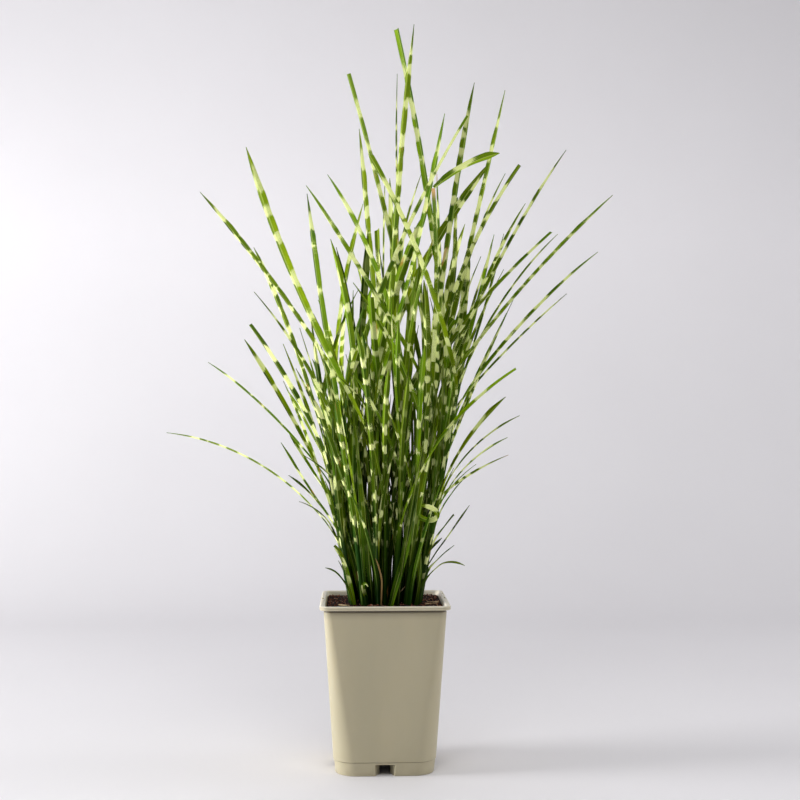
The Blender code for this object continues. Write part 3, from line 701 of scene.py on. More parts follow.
leafForm = {
    "foot": 184 * mm,           # the sheath starts under the compost
    "sheathEnd": 2 * mm,        # and ends this far under the collar
    "fineStep": 4 * mm,
    "bladeSamples": 160,
    "leadAt": 60,               # the sample of the blade that a sheath turns its midrib to
    "leadLeast": 4 * mm,        # unless it is this close to the shoot
    "soften": 9 * mm,           # how far the bend at the collar is rounded
    "layer": 0.18 * mm,         # each lower leaf wraps the ones above it
    "wrapFoot": 2.6,            # radians that the sheath reaches round each side of its midrib
    "wrapCollar": 1.8,
    "wrapBlade": 0.3,
    "openLength": 34 * mm,      # the sheath opens flat over this length
    "openEarly": 10 * mm,       # and starts to this far under the collar
    "turnLength": 120 * mm,     # the blade turns to its own facing over this length
    "turnEarly": 8 * mm,
    "foldAt": (0, 0.35, 1),     # along the blade, and the depth of its V as a share of half its width
    "fold": (0.38, 0.3, 0.16),
    "gain": (300 * mm, 500 * mm, 0.92, 1.34),    # how much wider a blade is between these heights
    "broad": 8 * mm,            # what goes over this width counts for less
    "overBroad": 0.4,
    "blunter": 0.7,             # a blade keeps its width nearer to the tip than in the solids
    "pinch": (0.16, 8.0),       # share that a blade is narrower at a band, and mm to either side
    "thickAt": (0, 0.03, 0.6, 1),
    "thick": (0.09 * mm, 0.16 * mm, 0.16 * mm, 0.1 * mm),   # half the thickness, sheath to tip
    "ribDepth": 0.35 * mm,
    "ribHalf": 0.2,             # share of half the width
    "sectionPoints": 12,
    "sheathStep": 14 * mm,
    "bladeStep": 7 * mm,
    "tipStep": 4 * mm,
    "stepSlack": 0.95,          # a step that is shorter than it should be by a hair still counts
    "collarLength": 24 * mm,    # the sections are close from here under the collar
    "tipLength": 34 * mm,       # and closest from here to the tip
    "wave": 0.7 * mm,
    "waveLength": (60, 110),
    "twist": 0.35,
    "bandGap": (22.0, 38.0),    # mm between the middles of two bands, for a whole leaf
    "bandStray": 0.5,           # and how much that varies along it
    "plainTip": (36.0, 56.0),   # mm from the tip to the first band
    "bandGrow": (230 * mm, 560 * mm, 0.65, 1.0),    # bands grow from half size between these heights
    "crownFrom": 660 * mm,      # leaves that end lower than this, inside the clump, have fainter bands
    "crownHalf": 78 * mm,
    "bandsInside": (0.75, 1.0),
    "insideSize": 0.85,         # and their bands are smaller
    "insideGap": 1.25,          # and wider apart
    "plainInside": 0.3,         # share of the inner leaves that has hardly any bands
    "faintest": 0.15,
    "plainShade": 0.65,         # and is darker
    "frontFrom": -95 * mm,      # inner leaves that bow this far to the front are slimmer
    "frontWidth": 0.7,
    "bandsOutside": (0.85, 1.0),
    "outsideShade": (480 * mm, 640 * mm, 1.0, 0.84),    # painted shade: the long outer leaves are darker up there
    "bandsFrom": (212 * mm, 256 * mm),  # bands fade in over this height, outside and inside
    "bandsOver": 44 * mm,
    "dryTips": 0.12,            # share of the leaves that has a brown tip
    "dryFrom": (0.93, 1.02),    # where along the leaf it starts
    "dryOver": 0.05,
    "value": (0.5, 1.27),       # how dark and how light a whole leaf may be
    "footShade": (195 * mm, 370 * mm, 0.42),    # painted shade: leaves are darker low down, where others shade them
    "innerShade": 0.24,         # and painted shade in the middle of the clump, most of all under this height
    "innerBelow": (340 * mm, 520 * mm),
    "clumpHalf": 46 * mm,       # half the clump's width at its foot
    "clumpEdge": 1.25,          # and how many times that counts as outside
    "seeds": 90,
    "seed": 41,
}


def smoothStep(x):
    x = np.clip(x, 0.0, 1.0)
    return x * x * (3 - 2 * x)


def unit(vectors):
    return vectors / np.maximum(np.linalg.norm(vectors, axis=-1, keepdims=True), 1e-9)


def evenly(places, step=None, count=None):
    # the same line with points at even steps, and how far along it each one is
    run = np.concatenate(([0.0], np.cumsum(np.linalg.norm(np.diff(places, axis=0), axis=1))))
    if count is None:
        count = max(8, int(round(run[-1] / step)) + 1)
    marks = np.linspace(0, run[-1], count)
    return np.stack([np.interp(marks, run, places[:, k]) for k in range(3)], 1), marks


def curvedLine(points, count):
    # a smooth line through a few points
    line, _ = evenly(np.array(points, float), count=count)
    for _ in range(max(2, count // 6)):
        line[1:-1] = 0.25 * line[:-2] + 0.5 * line[1:-1] + 0.25 * line[2:]
    return line


def softened(places, marks, collar, reach):
    # rounds the bend at the collar and leaves both ends where they are
    out = places.copy()
    for i, mark in enumerate(marks):
        near = reach * float(smoothStep(2.5 - abs(mark - collar) / (reach * 2)))
        if near < 1e-4 or i in (0, len(marks) - 1):
            continue
        weights = np.exp(-0.5 * ((marks - mark) / near) ** 2)
        out[i] = weights @ places / weights.sum()
    return out


def standingShade(places):
    # painted shade: how much darker a leaf is painted where its neighbours stand in its light
    form = leafForm
    low, high, least = form["footShade"]
    foot = least + (1 - least) * smoothStep((places[:, 2] - low) / (high - low))
    size = form["clumpHalf"] * (1 + (places[:, 2] - plant["soilTop"]) / plant["fanDepth"])
    reach = np.hypot(places[:, 0], places[:, 1]) / size
    low, high = form["innerBelow"]
    under = 1 - smoothStep((places[:, 2] - low) / (high - low))
    return foot * (1 - form["innerShade"] * under * smoothStep(form["clumpEdge"] - reach))


def bandMarks(length, rng):
    # where the bands are, in metres from the tip; the first one lies beyond the tip
    form = leafForm
    first = rng.uniform(*form["plainTip"])
    gap = rng.uniform(*form["bandGap"])
    edges = [first - 3 * gap, first]
    while edges[-1] < length / mm + gap:
        edges.append(edges[-1] + gap * (1 + form["bandStray"] * rng.uniform(-1, 1)))
    return np.array(edges) * mm


def stationsOf(marks, collar):
    # which of the fine points become sections: close at the collar and the tip, wide on the sheath
    form = leafForm
    keep = [0]
    end = marks[-1]
    for i, mark in enumerate(marks[:-1]):
        if mark < collar - form["collarLength"]:
            step = form["sheathStep"]
        elif mark > end - form["tipLength"]:
            step = form["tipStep"]
        else:
            step = form["bladeStep"]
        if mark - marks[keep[-1]] >= step * form["stepSlack"]:
            keep.append(i)
    keep.append(len(marks) - 1)
    return np.array(keep)


def bladeFacing(row, fine, along):
    # across the blade: turned from edge-on by the row's own share, with its back to the outside
    sight = unit(fine - plant["eye"])
    edgeOn = unit(sight - along * (sight * along).sum(1, keepdims=True))
    faceOn = np.cross(along, edgeOn)
    turn = math.copysign(math.asin(abs(row.face)), row.face)
    across = edgeOn * math.cos(turn) + faceOn * math.sin(turn)
    under = np.cross(across, along)
    twoThirds = len(fine) - len(fine) // 3
    x, y, z = fine[twoThirds]
    outward = np.array((x, y, -spread["keelFall"] * (z - plant["soilTop"])))
    side = 1.0 if under[twoThirds] @ outward >= 0 else -1.0
    return across * side


def sheathFacing(shoot, along, across, bladePlaces, past):
    # round the stem the midrib lies on the side that the blade goes to, and past the collar the
    # leaf turns to the blade's own facing
    form = leafForm
    spot = bladePlaces[form["leadAt"]]
    lead = spot - shoot.centre(spot[2])
    lead[2] = 0.0
    if np.linalg.norm(lead) < form["leadLeast"]:
        lead = np.array((shoot.foot[0] + 1 * mm, shoot.foot[1], 0.0))
    sheathAcross = unit(np.cross(along, lead[None]))
    angle = np.arctan2((along * np.cross(sheathAcross, across)).sum(1),
                       (sheathAcross * across).sum(1))
    angle = angle * smoothStep((past + form["turnEarly"]) / form["turnLength"])
    return (sheathAcross * np.cos(angle)[:, None]
            + np.cross(along, sheathAcross) * np.sin(angle)[:, None])


def lineOf(places, across, along, **values):
    # a line for the sweep; what is given as one number holds for all of it
    line = {"place": places, "acrossDir": across, "outDir": np.cross(across, along)}
    line.update({key: value * np.ones(len(places)) for key, value in values.items()})
    return line


def leafPattern(fine, marks, share, inside, rng):
    # the bands of a leaf: their number and their distance at each point, how pale they are there,
    # how green the leaf is, with its painted shade, and how dry it is
    form = leafForm
    size = form["insideSize"] if inside else 1.0
    apart = form["insideGap"] if inside else 1.0
    edges = bandMarks(marks[-1] / apart, rng) * apart
    fromTip = marks[-1] - marks
    number = np.interp(fromTip, edges, np.arange(len(edges)))
    gap = np.interp(fromTip, edges, np.concatenate((np.diff(edges), [edges[-1] - edges[-2]])))
    heights = fine[:, 2]
    gap = gap / size / np.interp(heights, form["bandGrow"][:2], form["bandGrow"][2:])
    shown = smoothStep((heights - form["bandsFrom"][inside]) / form["bandsOver"])
    shown = shown * rng.uniform(*form["bandsInside" if inside else "bandsOutside"])
    # painted shade: the leaf's own tone, darker low down and inside the clump
    shade = rng.uniform(*form["value"]) * standingShade(fine)
    if not inside:
        shade = shade * np.interp(heights, form["outsideShade"][:2], form["outsideShade"][2:])
    if inside and rng.random() < form["plainInside"]:
        shown = shown * form["faintest"]
        shade = shade * form["plainShade"]
    dry = smoothStep((share - rng.uniform(*form["dryFrom"])) / form["dryOver"])
    return {
        "bandNumber": number,
        "bandGap": gap / mm,
        "bandShow": shown,
        "shade": shade,
        "dry": dry * (rng.random() < form["dryTips"]),
        "leafSeed": rng.uniform(0, form["seeds"]),
    }


def leafLine(shoot, row, controls, layer, rng, goesOn, taper):
    # everything the sweep needs at each station of one leaf
    form = leafForm
    bladePlaces = fromView(bezierWeights(np.linspace(0, 1, form["bladeSamples"])) @ controls)
    if goesOn:
        sheath = np.empty((0, 3))
    else:
        heights = np.arange(form["foot"], row.leaves * mm - form["sheathEnd"], form["fineStep"])
        sheath = np.array([shoot.centre(h) for h in heights])
    fine, marks = evenly(np.concatenate((sheath, bladePlaces)), step=form["fineStep"])
    sheathLength = np.linalg.norm(sheath[-1] - sheath[0]) if len(sheath) else 0.0
    past = marks - sheathLength
    share = np.clip(past / past[-1], 0, 1)
    along = unit(np.gradient(fine, axis=0))
    across = bladeFacing(row, fine, along)
    if goesOn:
        radius = np.zeros(len(fine))
        opened = np.ones(len(fine))
    else:
        across = sheathFacing(shoot, along, across, bladePlaces, past)
        opened = smoothStep((past + form["openEarly"]) / form["openLength"])
        radius = np.array([shoot.core * shoot.size(place[2]) for place in fine])
        radius = radius + layer * form["layer"]
    twist = form["twist"] * rng.uniform(-1, 1) * share ** 2
    out = np.cross(across, along)
    across = across * np.cos(twist)[:, None] + out * np.sin(twist)[:, None]
    out = np.cross(across, along)

    fine = fine + out * (radius * (1 - smoothStep(past / form["openLength"])))[:, None]
    fine = softened(fine, marks, sheathLength, form["soften"])
    wave = np.sin(marks / (rng.uniform(*form["waveLength"]) * mm) + rng.uniform(0, fullTurn))
    wave = form["wave"] * wave
    fine = fine + out * (wave * share * (1 - share) * 4)[:, None]

    wrapSheath = form["wrapFoot"] + (form["wrapCollar"] - form["wrapFoot"]) * np.clip(
        marks / max(sheathLength, mm), 0, 1)
    width = leafWidth(row, share, taper * form["blunter"])
    width = np.minimum(width, form["broad"] + form["overBroad"] * (width - form["broad"]))
    width = width * np.interp(fine[:, 2], form["gain"][:2], form["gain"][2:])
    inside = fine[-1, 2] < form["crownFrom"] and abs(fine[-1, 0]) < form["crownHalf"]
    if inside and fine[-1, 1] < form["frontFrom"]:
        width = width * form["frontWidth"]
    pattern = leafPattern(fine, marks, share, inside, rng)
    pinch, pinchReach = form["pinch"]
    number = pattern["bandNumber"]
    toBand = np.abs(number - np.round(number)) * pattern["bandGap"]
    pinched = pinch * opened * pattern["bandShow"] * np.exp(-(toBand / pinchReach) ** 2)
    half = wrapSheath * radius * (1 - opened) + 0.5 * width * opened
    line = lineOf(fine, across, along, halfWidth=half * (1 - pinched),
                  wrap=wrapSheath * (1 - opened) + form["wrapBlade"] * opened,
                  fold=opened * np.interp(share, form["foldAt"], form["fold"]),
                  thick=np.interp(share, form["thickAt"], form["thick"]),
                  sheath=1 - opened, **pattern)
    keep = stationsOf(marks, sheathLength)
    return {key: values[keep] for key, values in line.items()}


# leaves that lie out of line: the shoot each one belongs to, its path as it shows from the front
# (right, up, depth) and its width in mm, how dry it is, how pale its bands are, and its shade
OddLeaf = namedtuple("OddLeaf", "shoot path width dry pale shade")

oddLeaves = {
    "deadStrip": OddLeaf(
        "shoot_10", ((-3.5, 190, -36), (-2.5, 223, -47), (-7, 240, -52), (-10, 248, -54),
                     (-17, 255, -55)), width=2.0, dry=0.85, pale=0.0, shade=0.9),
    "curledTip": OddLeaf(
        "shoot_05", ((-21, 199, -34), (-25, 209, -43), (-26.5, 216, -47), (-22.5, 219, -49),
                     (-19.5, 214, -49)), width=4.4, dry=0.0, pale=1.0, shade=0.9),
    "hairpin": OddLeaf(
        "shoot_19", ((34, 306, -46), (44, 298, -60), (57, 293, -64), (66, 297, -64),
                     (67, 304, -64), (62, 309, -64), (52, 312, -62), (36, 316, -54)),
        width=6.4, dry=0.0, pale=0.9, shade=0.9),
    "broadLeaf": OddLeaf(
        "shoot_16", ((8, 190, -36), (14, 214, -43), (23.5, 245, -49), (31, 276, -53),
                     (38, 312, -56), (45, 345, -60)), width=8.0, dry=0.0, pale=0.0, shade=0.5),
    "bowedLeaf": OddLeaf(
        "shoot_05", ((-36, 192, -34), (-41, 215, -40), (-46, 236, -44), (-52, 250, -46),
                     (-60.5, 261, -48)), width=5.0, dry=0.0, pale=1.0, shade=0.8),
}
oddForm = {
    "samples": 26,
    "widthAt": (0, 0.15, 0.75, 1),
    "width": (0.7, 1, 0.9, 0.2),
    "paleFrom": 0.2,            # its bands start at this share of its length
    "paleOver": 0.4,
}


def oddLine(leaf, rng):
    # a loose leaf with its broad side to the front
    form = leafForm
    places = fromView(curvedLine(np.array(leaf.path) * mm, oddForm["samples"]))
    along = unit(np.gradient(places, axis=0))
    across = unit(np.cross(along, unit(places - plant["eye"])))
    share = np.linspace(0, 1, len(places))
    length = np.linalg.norm(np.diff(places, axis=0), axis=1).sum() / mm
    gap = form["bandGap"][0]
    widths = np.interp(share, oddForm["widthAt"], oddForm["width"])
    banded = smoothStep((share - oddForm["paleFrom"]) / oddForm["paleOver"])
    return lineOf(places, across, along, halfWidth=0.5 * leaf.width * mm * widths,
                  wrap=form["wrapBlade"], fold=form["fold"][1], thick=form["thick"][-1], sheath=0,
                  bandNumber=(1 - share) * length / gap, bandGap=gap, bandShow=leaf.pale * banded,
                  shade=leaf.shade, dry=leaf.dry, leafSeed=rng.uniform(0, form["seeds"]))


spear = {
    "samples": 26,
    "over": 4 * mm,             # how far it stands out of the top of its shoot
    "wrap": 2.9,                # radians that it is rolled to each side
    "radius": 0.86,             # share of the shoot's own core
    "tip": (1.03, 0.12),        # where it would end, and the share of its length that is its point
    "thinnest": 0.12,
    "bands": 8,
    "bandGap": 40,
    "pale": 0.7,
}


def spearLine(shoot, rng):
    # the youngest leaf, still rolled up in the middle of its shoot
    form = leafForm
    heights = np.linspace(form["foot"], shoot.top + spear["over"], spear["samples"])
    places = np.array([shoot.centre(h) for h in heights])
    share = np.linspace(0, 1, len(heights))
    along = unit(np.gradient(places, axis=0))
    lead = np.array((math.cos(rng.uniform(0, fullTurn)), math.sin(rng.uniform(0, fullTurn)), 0.0))
    across = unit(np.cross(along, lead[None]))
    size = np.array([shoot.size(h) for h in heights])
    end, point = spear["tip"]
    pointed = np.clip((end - share) / point, spear["thinnest"], 1)
    radius = spear["radius"] * shoot.core * size * pointed
    shown = smoothStep((heights - form["bandsFrom"][1]) / form["bandsOver"])
    return lineOf(places + np.cross(across, along) * radius[:, None], across, along,
                  halfWidth=spear["wrap"] * radius, wrap=spear["wrap"], fold=0,
                  thick=2 * form["thick"][0], sheath=1, bandNumber=share * spear["bands"],
                  bandGap=spear["bandGap"], bandShow=spear["pale"] * shown,
                  shade=standingShade(places), dry=0, leafSeed=rng.uniform(0, form["seeds"]))


def linesMesh(name, lines):
    # one mesh of open lines, with what the sweep and the finish read stored on its points
    mesh = bpy.data.meshes.new(name)
    places = np.concatenate([line["place"] for line in lines])
    edges = []
    start = 0
    for line in lines:
        count = len(line["place"])
        edges += [(start + i, start + i + 1) for i in range(count - 1)]
        start += count
    mesh.from_pydata(places.tolist(), edges, [])
    for key in lines[0]:
        if key == "place":
            continue
        values = np.concatenate([line[key] for line in lines]).astype(np.float32)
        if values.ndim == 2:
            attribute = mesh.attributes.new(key, "FLOAT_VECTOR", "POINT")
            attribute.data.foreach_set("vector", values.ravel())
        else:
            attribute = mesh.attributes.new(key, "FLOAT", "POINT")
            attribute.data.foreach_set("value", values)
    return linked(name, mesh)


def leafTree():
    # sweeps a lens section along each line, then curls it by the line's own wrap and fold
    tree, source, target = newTree("leafSweep", (
        ("Section Points", "NodeSocketInt", leafForm["sectionPoints"]),
        ("Rib Depth", "NodeSocketFloat", leafForm["ribDepth"]),
        ("Material", "NodeSocketMaterial", None)))
    add = partial(addNode, tree)
    stored = {}
    position = add("InputPosition")
    lines = add("MeshToCurve", {"Mesh": source.outputs["Geometry"]})
    spine = add("StoreNamedAttribute", {"Geometry": lines, "Name": "spine", "Value": position},
                data_type="FLOAT_VECTOR")
    circle = add("CurvePrimitiveCircle", {"Resolution": source.outputs["Section Points"], "Radius": 1.0})
    x, y, _ = add("SeparateXYZ", (position,)).outputs
    around = add("Math", (add("Math", (y,), operation="ABSOLUTE"), x), operation="ARCTAN2")
    evenU = add("MapRange", {"Value": around, "From Max": math.pi, "To Min": 1.0, "To Max": -1.0})
    section = circle
    for name, value in (("leafU", evenU), ("leafV", y)):
        section = add("StoreNamedAttribute", {"Geometry": section, "Name": name, "Value": value},
                      data_type="FLOAT")
    swept = add("CurveToMesh", {"Curve": spine, "Profile Curve": section, "Fill Caps": True})

    for name in ("leafU", "leafV", "wrap", "halfWidth", "fold", "thick", "bandNumber", "leafSeed",
                 "bandShow", "sheath", "dry"):
        stored[name] = add("InputNamedAttribute", {"Name": name}, data_type="FLOAT")
    for name in ("acrossDir", "outDir", "spine"):
        stored[name] = add("InputNamedAttribute", {"Name": name}, data_type="FLOAT_VECTOR")
    angle = add("Math", (stored["wrap"], stored["leafU"]), operation="MULTIPLY")
    radius = add("Math", (stored["halfWidth"], stored["wrap"]), operation="DIVIDE")
    sideways = add("Math", (add("Math", (angle,), operation="SINE"), radius), operation="MULTIPLY")
    sagged = add("Math", (add("Math", (angle,), operation="COSINE"), 1.0), operation="SUBTRACT")
    sagged = add("Math", (sagged, radius), operation="MULTIPLY")
    fromRib = add("Math", (stored["leafU"],), operation="ABSOLUTE")
    slope = add("Math", (stored["fold"], stored["halfWidth"]), operation="MULTIPLY")
    vee = add("Math", (slope, fromRib), operation="MULTIPLY")
    ribShape = add("MapRange", {"Value": fromRib, "From Max": leafForm["ribHalf"], "To Max": 0.0,
                                "To Min": source.outputs["Rib Depth"]})
    outer = add("Math", (stored["leafV"], 0.5), operation="GREATER_THAN")
    rib = add("Math", (ribShape, outer), operation="MULTIPLY")
    body = add("Math", (stored["leafV"], stored["thick"], rib), operation="MULTIPLY_ADD")
    height = add("Math", (add("Math", (sagged, vee), operation="SUBTRACT"), body))
    acrossPart = add("VectorMath", {"Vector": stored["acrossDir"], "Scale": sideways},
                     operation="SCALE")
    outPart = add("VectorMath", {"Vector": stored["outDir"], "Scale": height}, operation="SCALE")
    offset = add("VectorMath", (acrossPart, outPart))
    place = add("VectorMath", (stored["spine"], offset))
    shaped = add("SetPosition", {"Geometry": swept, "Position": place})
    leafPlace = add("CombineXYZ", (stored["leafU"], stored["bandNumber"], stored["leafSeed"]))
    leafState = add("CombineXYZ", (stored["bandShow"], stored["sheath"], stored["dry"]))
    for name, value in (("leafPlace", leafPlace), ("leafState", leafState)):
        shaped = add("StoreNamedAttribute", {"Geometry": shaped, "Name": name, "Value": value},
                     data_type="FLOAT_VECTOR")
    realized = add("RealizeInstances", {"Geometry": shaped})
    add("SetMaterial", {"Geometry": realized, "Material": source.outputs["Material"]})
    tree.links.new(tree.nodes[-1].outputs[0], target.inputs[0])
    return tree


def finishLeaves(piece, sharpAbove=62):
    # faces outwards, and only the attributes that the leaf material reads
    bm = bmesh.new()
    bm.from_mesh(piece.data)
    bmesh.ops.recalc_face_normals(bm, faces=bm.faces)
    bm.to_mesh(piece.data)
    bm.free()
    kept = ("leafPlace", "leafState", "bandGap", "leafV", "shade")
    for attribute in [a for a in piece.data.attributes if a.domain == "POINT"]:
        if attribute.name not in kept and not attribute.is_internal and attribute.name != "position":
            piece.data.attributes.remove(attribute)
    piece.data.shade_smooth()
    piece.data.set_sharp_from_angle(angle=math.radians(sharpAbove))


def makeLeaves(shoots, material):
    # one piece for each shoot, with all that grows out of it
    tree = leafTree()
    rng = random.Random(leafForm["seed"])
    values = {"Section Points": leafForm["sectionPoints"], "Rib Depth": leafForm["ribDepth"],
              "Material": material}
    for name, shoot in shoots.items():
        lines = [spearLine(shoot, rng)]
        rows = shoot.rows + shoot.between
        heights = sorted((row.leaves for row in rows if row.leaves != folded), reverse=True)
        for index, (row, course) in enumerate(zip(rows, shoot.curves)):
            goesOn = row.leaves == folded
            layer = 0 if goesOn else heights.index(row.leaves)
            taper = spread["taperLength"] if index < len(shoot.rows) else thicket["taper"]
            lines.append(leafLine(shoot, row, course.controls, layer, rng, goesOn, taper))
        for tiller in shoot.tillers:
            for layer, (row, course) in enumerate(zip(tiller.rows, tiller.curves)):
                lines.append(leafLine(tiller, row, course.controls, 1 - layer, rng, False,
                                      thicket["taper"]))
        lines += [oddLine(leaf, rng) for leaf in oddLeaves.values() if leaf.shoot == name]
        piece = linesMesh("grass_" + name, lines)
        runTree(piece, tree, values)
        finishLeaves(piece)
        settle(piece, "leaf", name)


# finishes

leafLook = {
    "lit": "#7b9303",           # full green of a leaf in good light
    "deep": "#264e00",
    "under": "#5c7a1e",         # the back of a leaf is greyer
    "foot": "#143c04",          # and the sheaths low down are darker and bluer, partly as painted shade of the clump's foot
    "pale": "#bdc66c",
    "cream": "#d1d7a2",
    "bandLightByHeight": (0.5, 0.74, 1.36, 0.86),  # painted light: how much brighter the bands are painted at these heights, low and high, against the shade low down
    "rust": "#a9743c",
    "dry": "#ab875c",
    "bandHalf": (2.4, 8.2),     # mm, least and most half width of a band
    "ragged": 1.8,              # mm that a band's edge wanders from vein to vein
    "slant": 2.4,               # mm that it wanders across the leaf
    "offset": 3.2,              # mm that a band is longer on one side of the midrib
    "soften": (0.4, 2.0),       # mm over which the edge of a band fades
    "hue": (0.484, 0.516),      # 0.5 leaves the hue as it is; less is yellower
    "shadeHue": 0.03,           # and where a leaf is painted into deep shade it is also painted bluer, by this much
    "paintedHalves": 0.3,              # painted light and shade: the two sides of a folded leaf are painted lighter and darker by this much
    "tone": (0.34, 0.72),       # the noise runs from deep to lit green between these values
    "underShare": 0.16,
    "footShadeShare": 0.7,
    "shadeFrom": (0.15, 0.85),  # full and no bluer shade
    "ribShare": 0.4,
    "ribHalf": (0.03, 0.12),    # share of half the width
    "rustFrom": (0.8, 0.86),
    "rustShare": 0.6,
    "roughness": (0.45, 0.65),
    "bump": (0.35, 0.12 * mm),
    # noise scales, across half a leaf, along one band gap (about 30 mm), and from leaf to leaf
    "veins": (12.0, 0.35, 1.0),     # veins on each half; the real, finer ones don't show
    "streaks": (24.0, 0.12, 1.0),
    "broad": (0.9, 2.5, 1.0),
    "spots": (0.7, 1.1, 3.1),
    "patches": 0.7,
    "noiseSpan": (0.25, 0.75),  # where most values of a noise are
}


def leafMaterial():
    # a living grass leaf: a waxy skin with a soft sheen over parallel veins, and light glows
    # through it, most of all through the pale bands that have no green
    look = leafLook
    material, add, shader = newMaterial(
        "zebra grass leaf", Subsurface_Weight=0.07, Subsurface_Radius=(1.0, 0.9, 0.1),
        Subsurface_Scale=0.8 * mm, IOR=1.42, Specular_IOR_Level=0.08)
    place = add("Attribute", attribute_name="leafPlace").outputs["Vector"]
    state = add("Attribute", attribute_name="leafState").outputs["Vector"]
    gap = add("Attribute", attribute_name="bandGap").outputs["Fac"]
    side = add("Attribute", attribute_name="leafV").outputs["Fac"]
    u, number, seed = add("SeparateXYZ", (place,)).outputs
    bandShow, sheath, dry = add("SeparateXYZ", (state,)).outputs

    # how far, in mm, a spot is from the edge of the nearest band
    whole = add("Math", (number,), operation="ROUND")
    away = add("Math", (add("Math", (number, whole), operation="SUBTRACT"),), operation="ABSOLUTE")
    away = add("Math", (away, gap), operation="MULTIPLY")
    dice = add("TexWhiteNoise", (add("CombineXYZ", (whole, seed)),))
    least, most = look["bandHalf"]
    half = add("MapRange", {"Value": dice.outputs["Value"], "To Min": least, "To Max": most})
    skewed, softened, _ = add("SeparateColor", (dice.outputs["Color"],)).outputs
    skewed = add("MapRange", {"Value": skewed, "To Min": -look["offset"], "To Max": look["offset"]})
    leafSide = add("Math", (u,), operation="SIGN")
    half = add("Math", (skewed, leafSide, half), operation="MULTIPLY_ADD")
    sharpest, softest = look["soften"]
    fade = add("MapRange", {"Value": softened, "To Min": sharpest, "To Max": softest})
    byVein = add("Mapping", {"Vector": place, "Scale": look["veins"]})
    vein = add("TexNoise", {"Vector": byVein, "Scale": 1.0, "Detail": 1.0})
    noiseLow, noiseHigh = look["noiseSpan"]
    ragged = add("MapRange", {"Value": vein, "From Min": noiseLow, "From Max": noiseHigh,
                              "To Min": -look["ragged"], "To Max": look["ragged"]})
    broad = add("Mapping", {"Vector": place, "Scale": look["broad"]})
    broad = add("TexNoise", {"Vector": broad, "Scale": 1.0, "Detail": 0.0})
    slant = add("MapRange", {"Value": broad, "From Min": noiseLow, "From Max": noiseHigh,
                             "To Min": -look["slant"], "To Max": look["slant"]})
    edge = add("Math", (away, half), operation="SUBTRACT")
    edge = add("Math", (add("Math", (edge, ragged)), slant))
    band = add("MapRange", {"Value": edge, "From Min": add("Math", (fade, -1.0), operation="MULTIPLY"),
                            "From Max": fade, "To Min": 1.0, "To Max": 0.0},
               interpolation_type="SMOOTHSTEP")
    band = add("Math", (band, bandShow), operation="MULTIPLY", use_clamp=True)

    # the green: streaks along the veins over broader patches, painted darker and bluer in the shade
    fine = add("Mapping", {"Vector": place, "Scale": look["streaks"]})
    streak = add("TexNoise", {"Vector": fine, "Scale": 1.0, "Detail": 2.0})
    patch = add("TexNoise", {"Vector": place, "Scale": look["patches"], "Detail": 3.0})
    tone = add("Math", (patch, 0.7, add("Math", (streak, 0.35), operation="MULTIPLY")),
               operation="MULTIPLY_ADD")
    deepest, lightest = look["tone"]
    tone = add("MapRange", {"Value": tone, "From Min": deepest, "From Max": lightest})
    backShare = add("MapRange", {"Value": side, "From Min": -0.1, "From Max": 0.1,
                                 "To Max": look["underShare"]})
    # the sheaths take the dark foot green: partly their own colour, partly painted shade
    low = add("Math", (sheath, look["footShadeShare"]), operation="MULTIPLY")
    green = hexColour(look["deep"])
    for share, shade in ((tone, "lit"), (backShare, "under"), (low, "foot")):
        green = add("Mix", (share, green, hexColour(look[shade])), data_type="RGBA")
    own = add("TexWhiteNoise", (seed,), noise_dimensions="1D")      # each leaf has its own shade
    yellower, bluer = look["hue"]
    value = add("Attribute", attribute_name="shade").outputs["Fac"]
    # painted light and shade: one half of each blade is painted lighter and the other darker, as if the
    # fold caught the light on one side; not on the sheaths
    litSide = add("Math", (own.outputs["Value"], 0.5), operation="SUBTRACT")
    litSide = add("Math", (add("Math", (litSide,), operation="SIGN"), u), operation="MULTIPLY")
    litSide = add("MapRange", {"Value": litSide, "From Min": -0.12, "From Max": 0.12,
                               "To Min": 1 - look["paintedHalves"], "To Max": 1 + look["paintedHalves"]})
    blade = add("Math", (1.0, sheath), operation="SUBTRACT")
    litSide = add("Mix", (blade, 1.0, litSide), data_type="FLOAT")
    value = add("Math", (value, litSide), operation="MULTIPLY")
    ownHue = add("SeparateColor", (own.outputs["Color"],)).outputs[1]
    hue = add("MapRange", {"Value": ownHue, "To Min": yellower, "To Max": bluer})
    darkest, lit = look["shadeFrom"]
    shaded = add("MapRange", {"Value": value, "From Min": darkest, "From Max": lit,
                              "To Min": look["shadeHue"], "To Max": 0.0})
    hue = add("Math", (hue, shaded))
    green = add("HueSaturation", {"Hue": hue, "Value": value, "Color": green})

    # painted light: the bands are painted brighter low down, against the shade they stand in
    paler = add("MapRange", {"Value": streak, "From Min": 0.35, "From Max": 0.65})
    pale = add("Mix", (paler, hexColour(look["pale"]), hexColour(look["cream"])), data_type="RGBA")
    height = add("SeparateXYZ", (add("TexCoord").outputs["Object"],)).outputs["Z"]
    lowest, highest, young, old = look["bandLightByHeight"]
    paintedBandLight = add("MapRange", {"Value": height, "From Min": lowest, "From Max": highest,
                            "To Min": young, "To Max": old})
    pale = add("HueSaturation", {"Value": paintedBandLight, "Color": pale})

    # the midrib is a thin pale line, and here and there a spot has rusted
    fromRib = add("Math", (u,), operation="ABSOLUTE")
    thin, wide = look["ribHalf"]
    rib = add("MapRange", {"Value": fromRib, "From Min": thin, "From Max": wide,
                           "To Min": look["ribShare"], "To Max": 0.0})
    rib = add("Math", (rib, blade), operation="MULTIPLY")
    spots = add("Mapping", {"Vector": place, "Scale": look["spots"]})
    spot = add("TexNoise", {"Vector": spots, "Scale": 1.0, "Detail": 0.0})
    least, most = look["rustFrom"]
    rust = add("MapRange", {"Value": spot, "From Min": least, "From Max": most,
                            "To Max": look["rustShare"]})

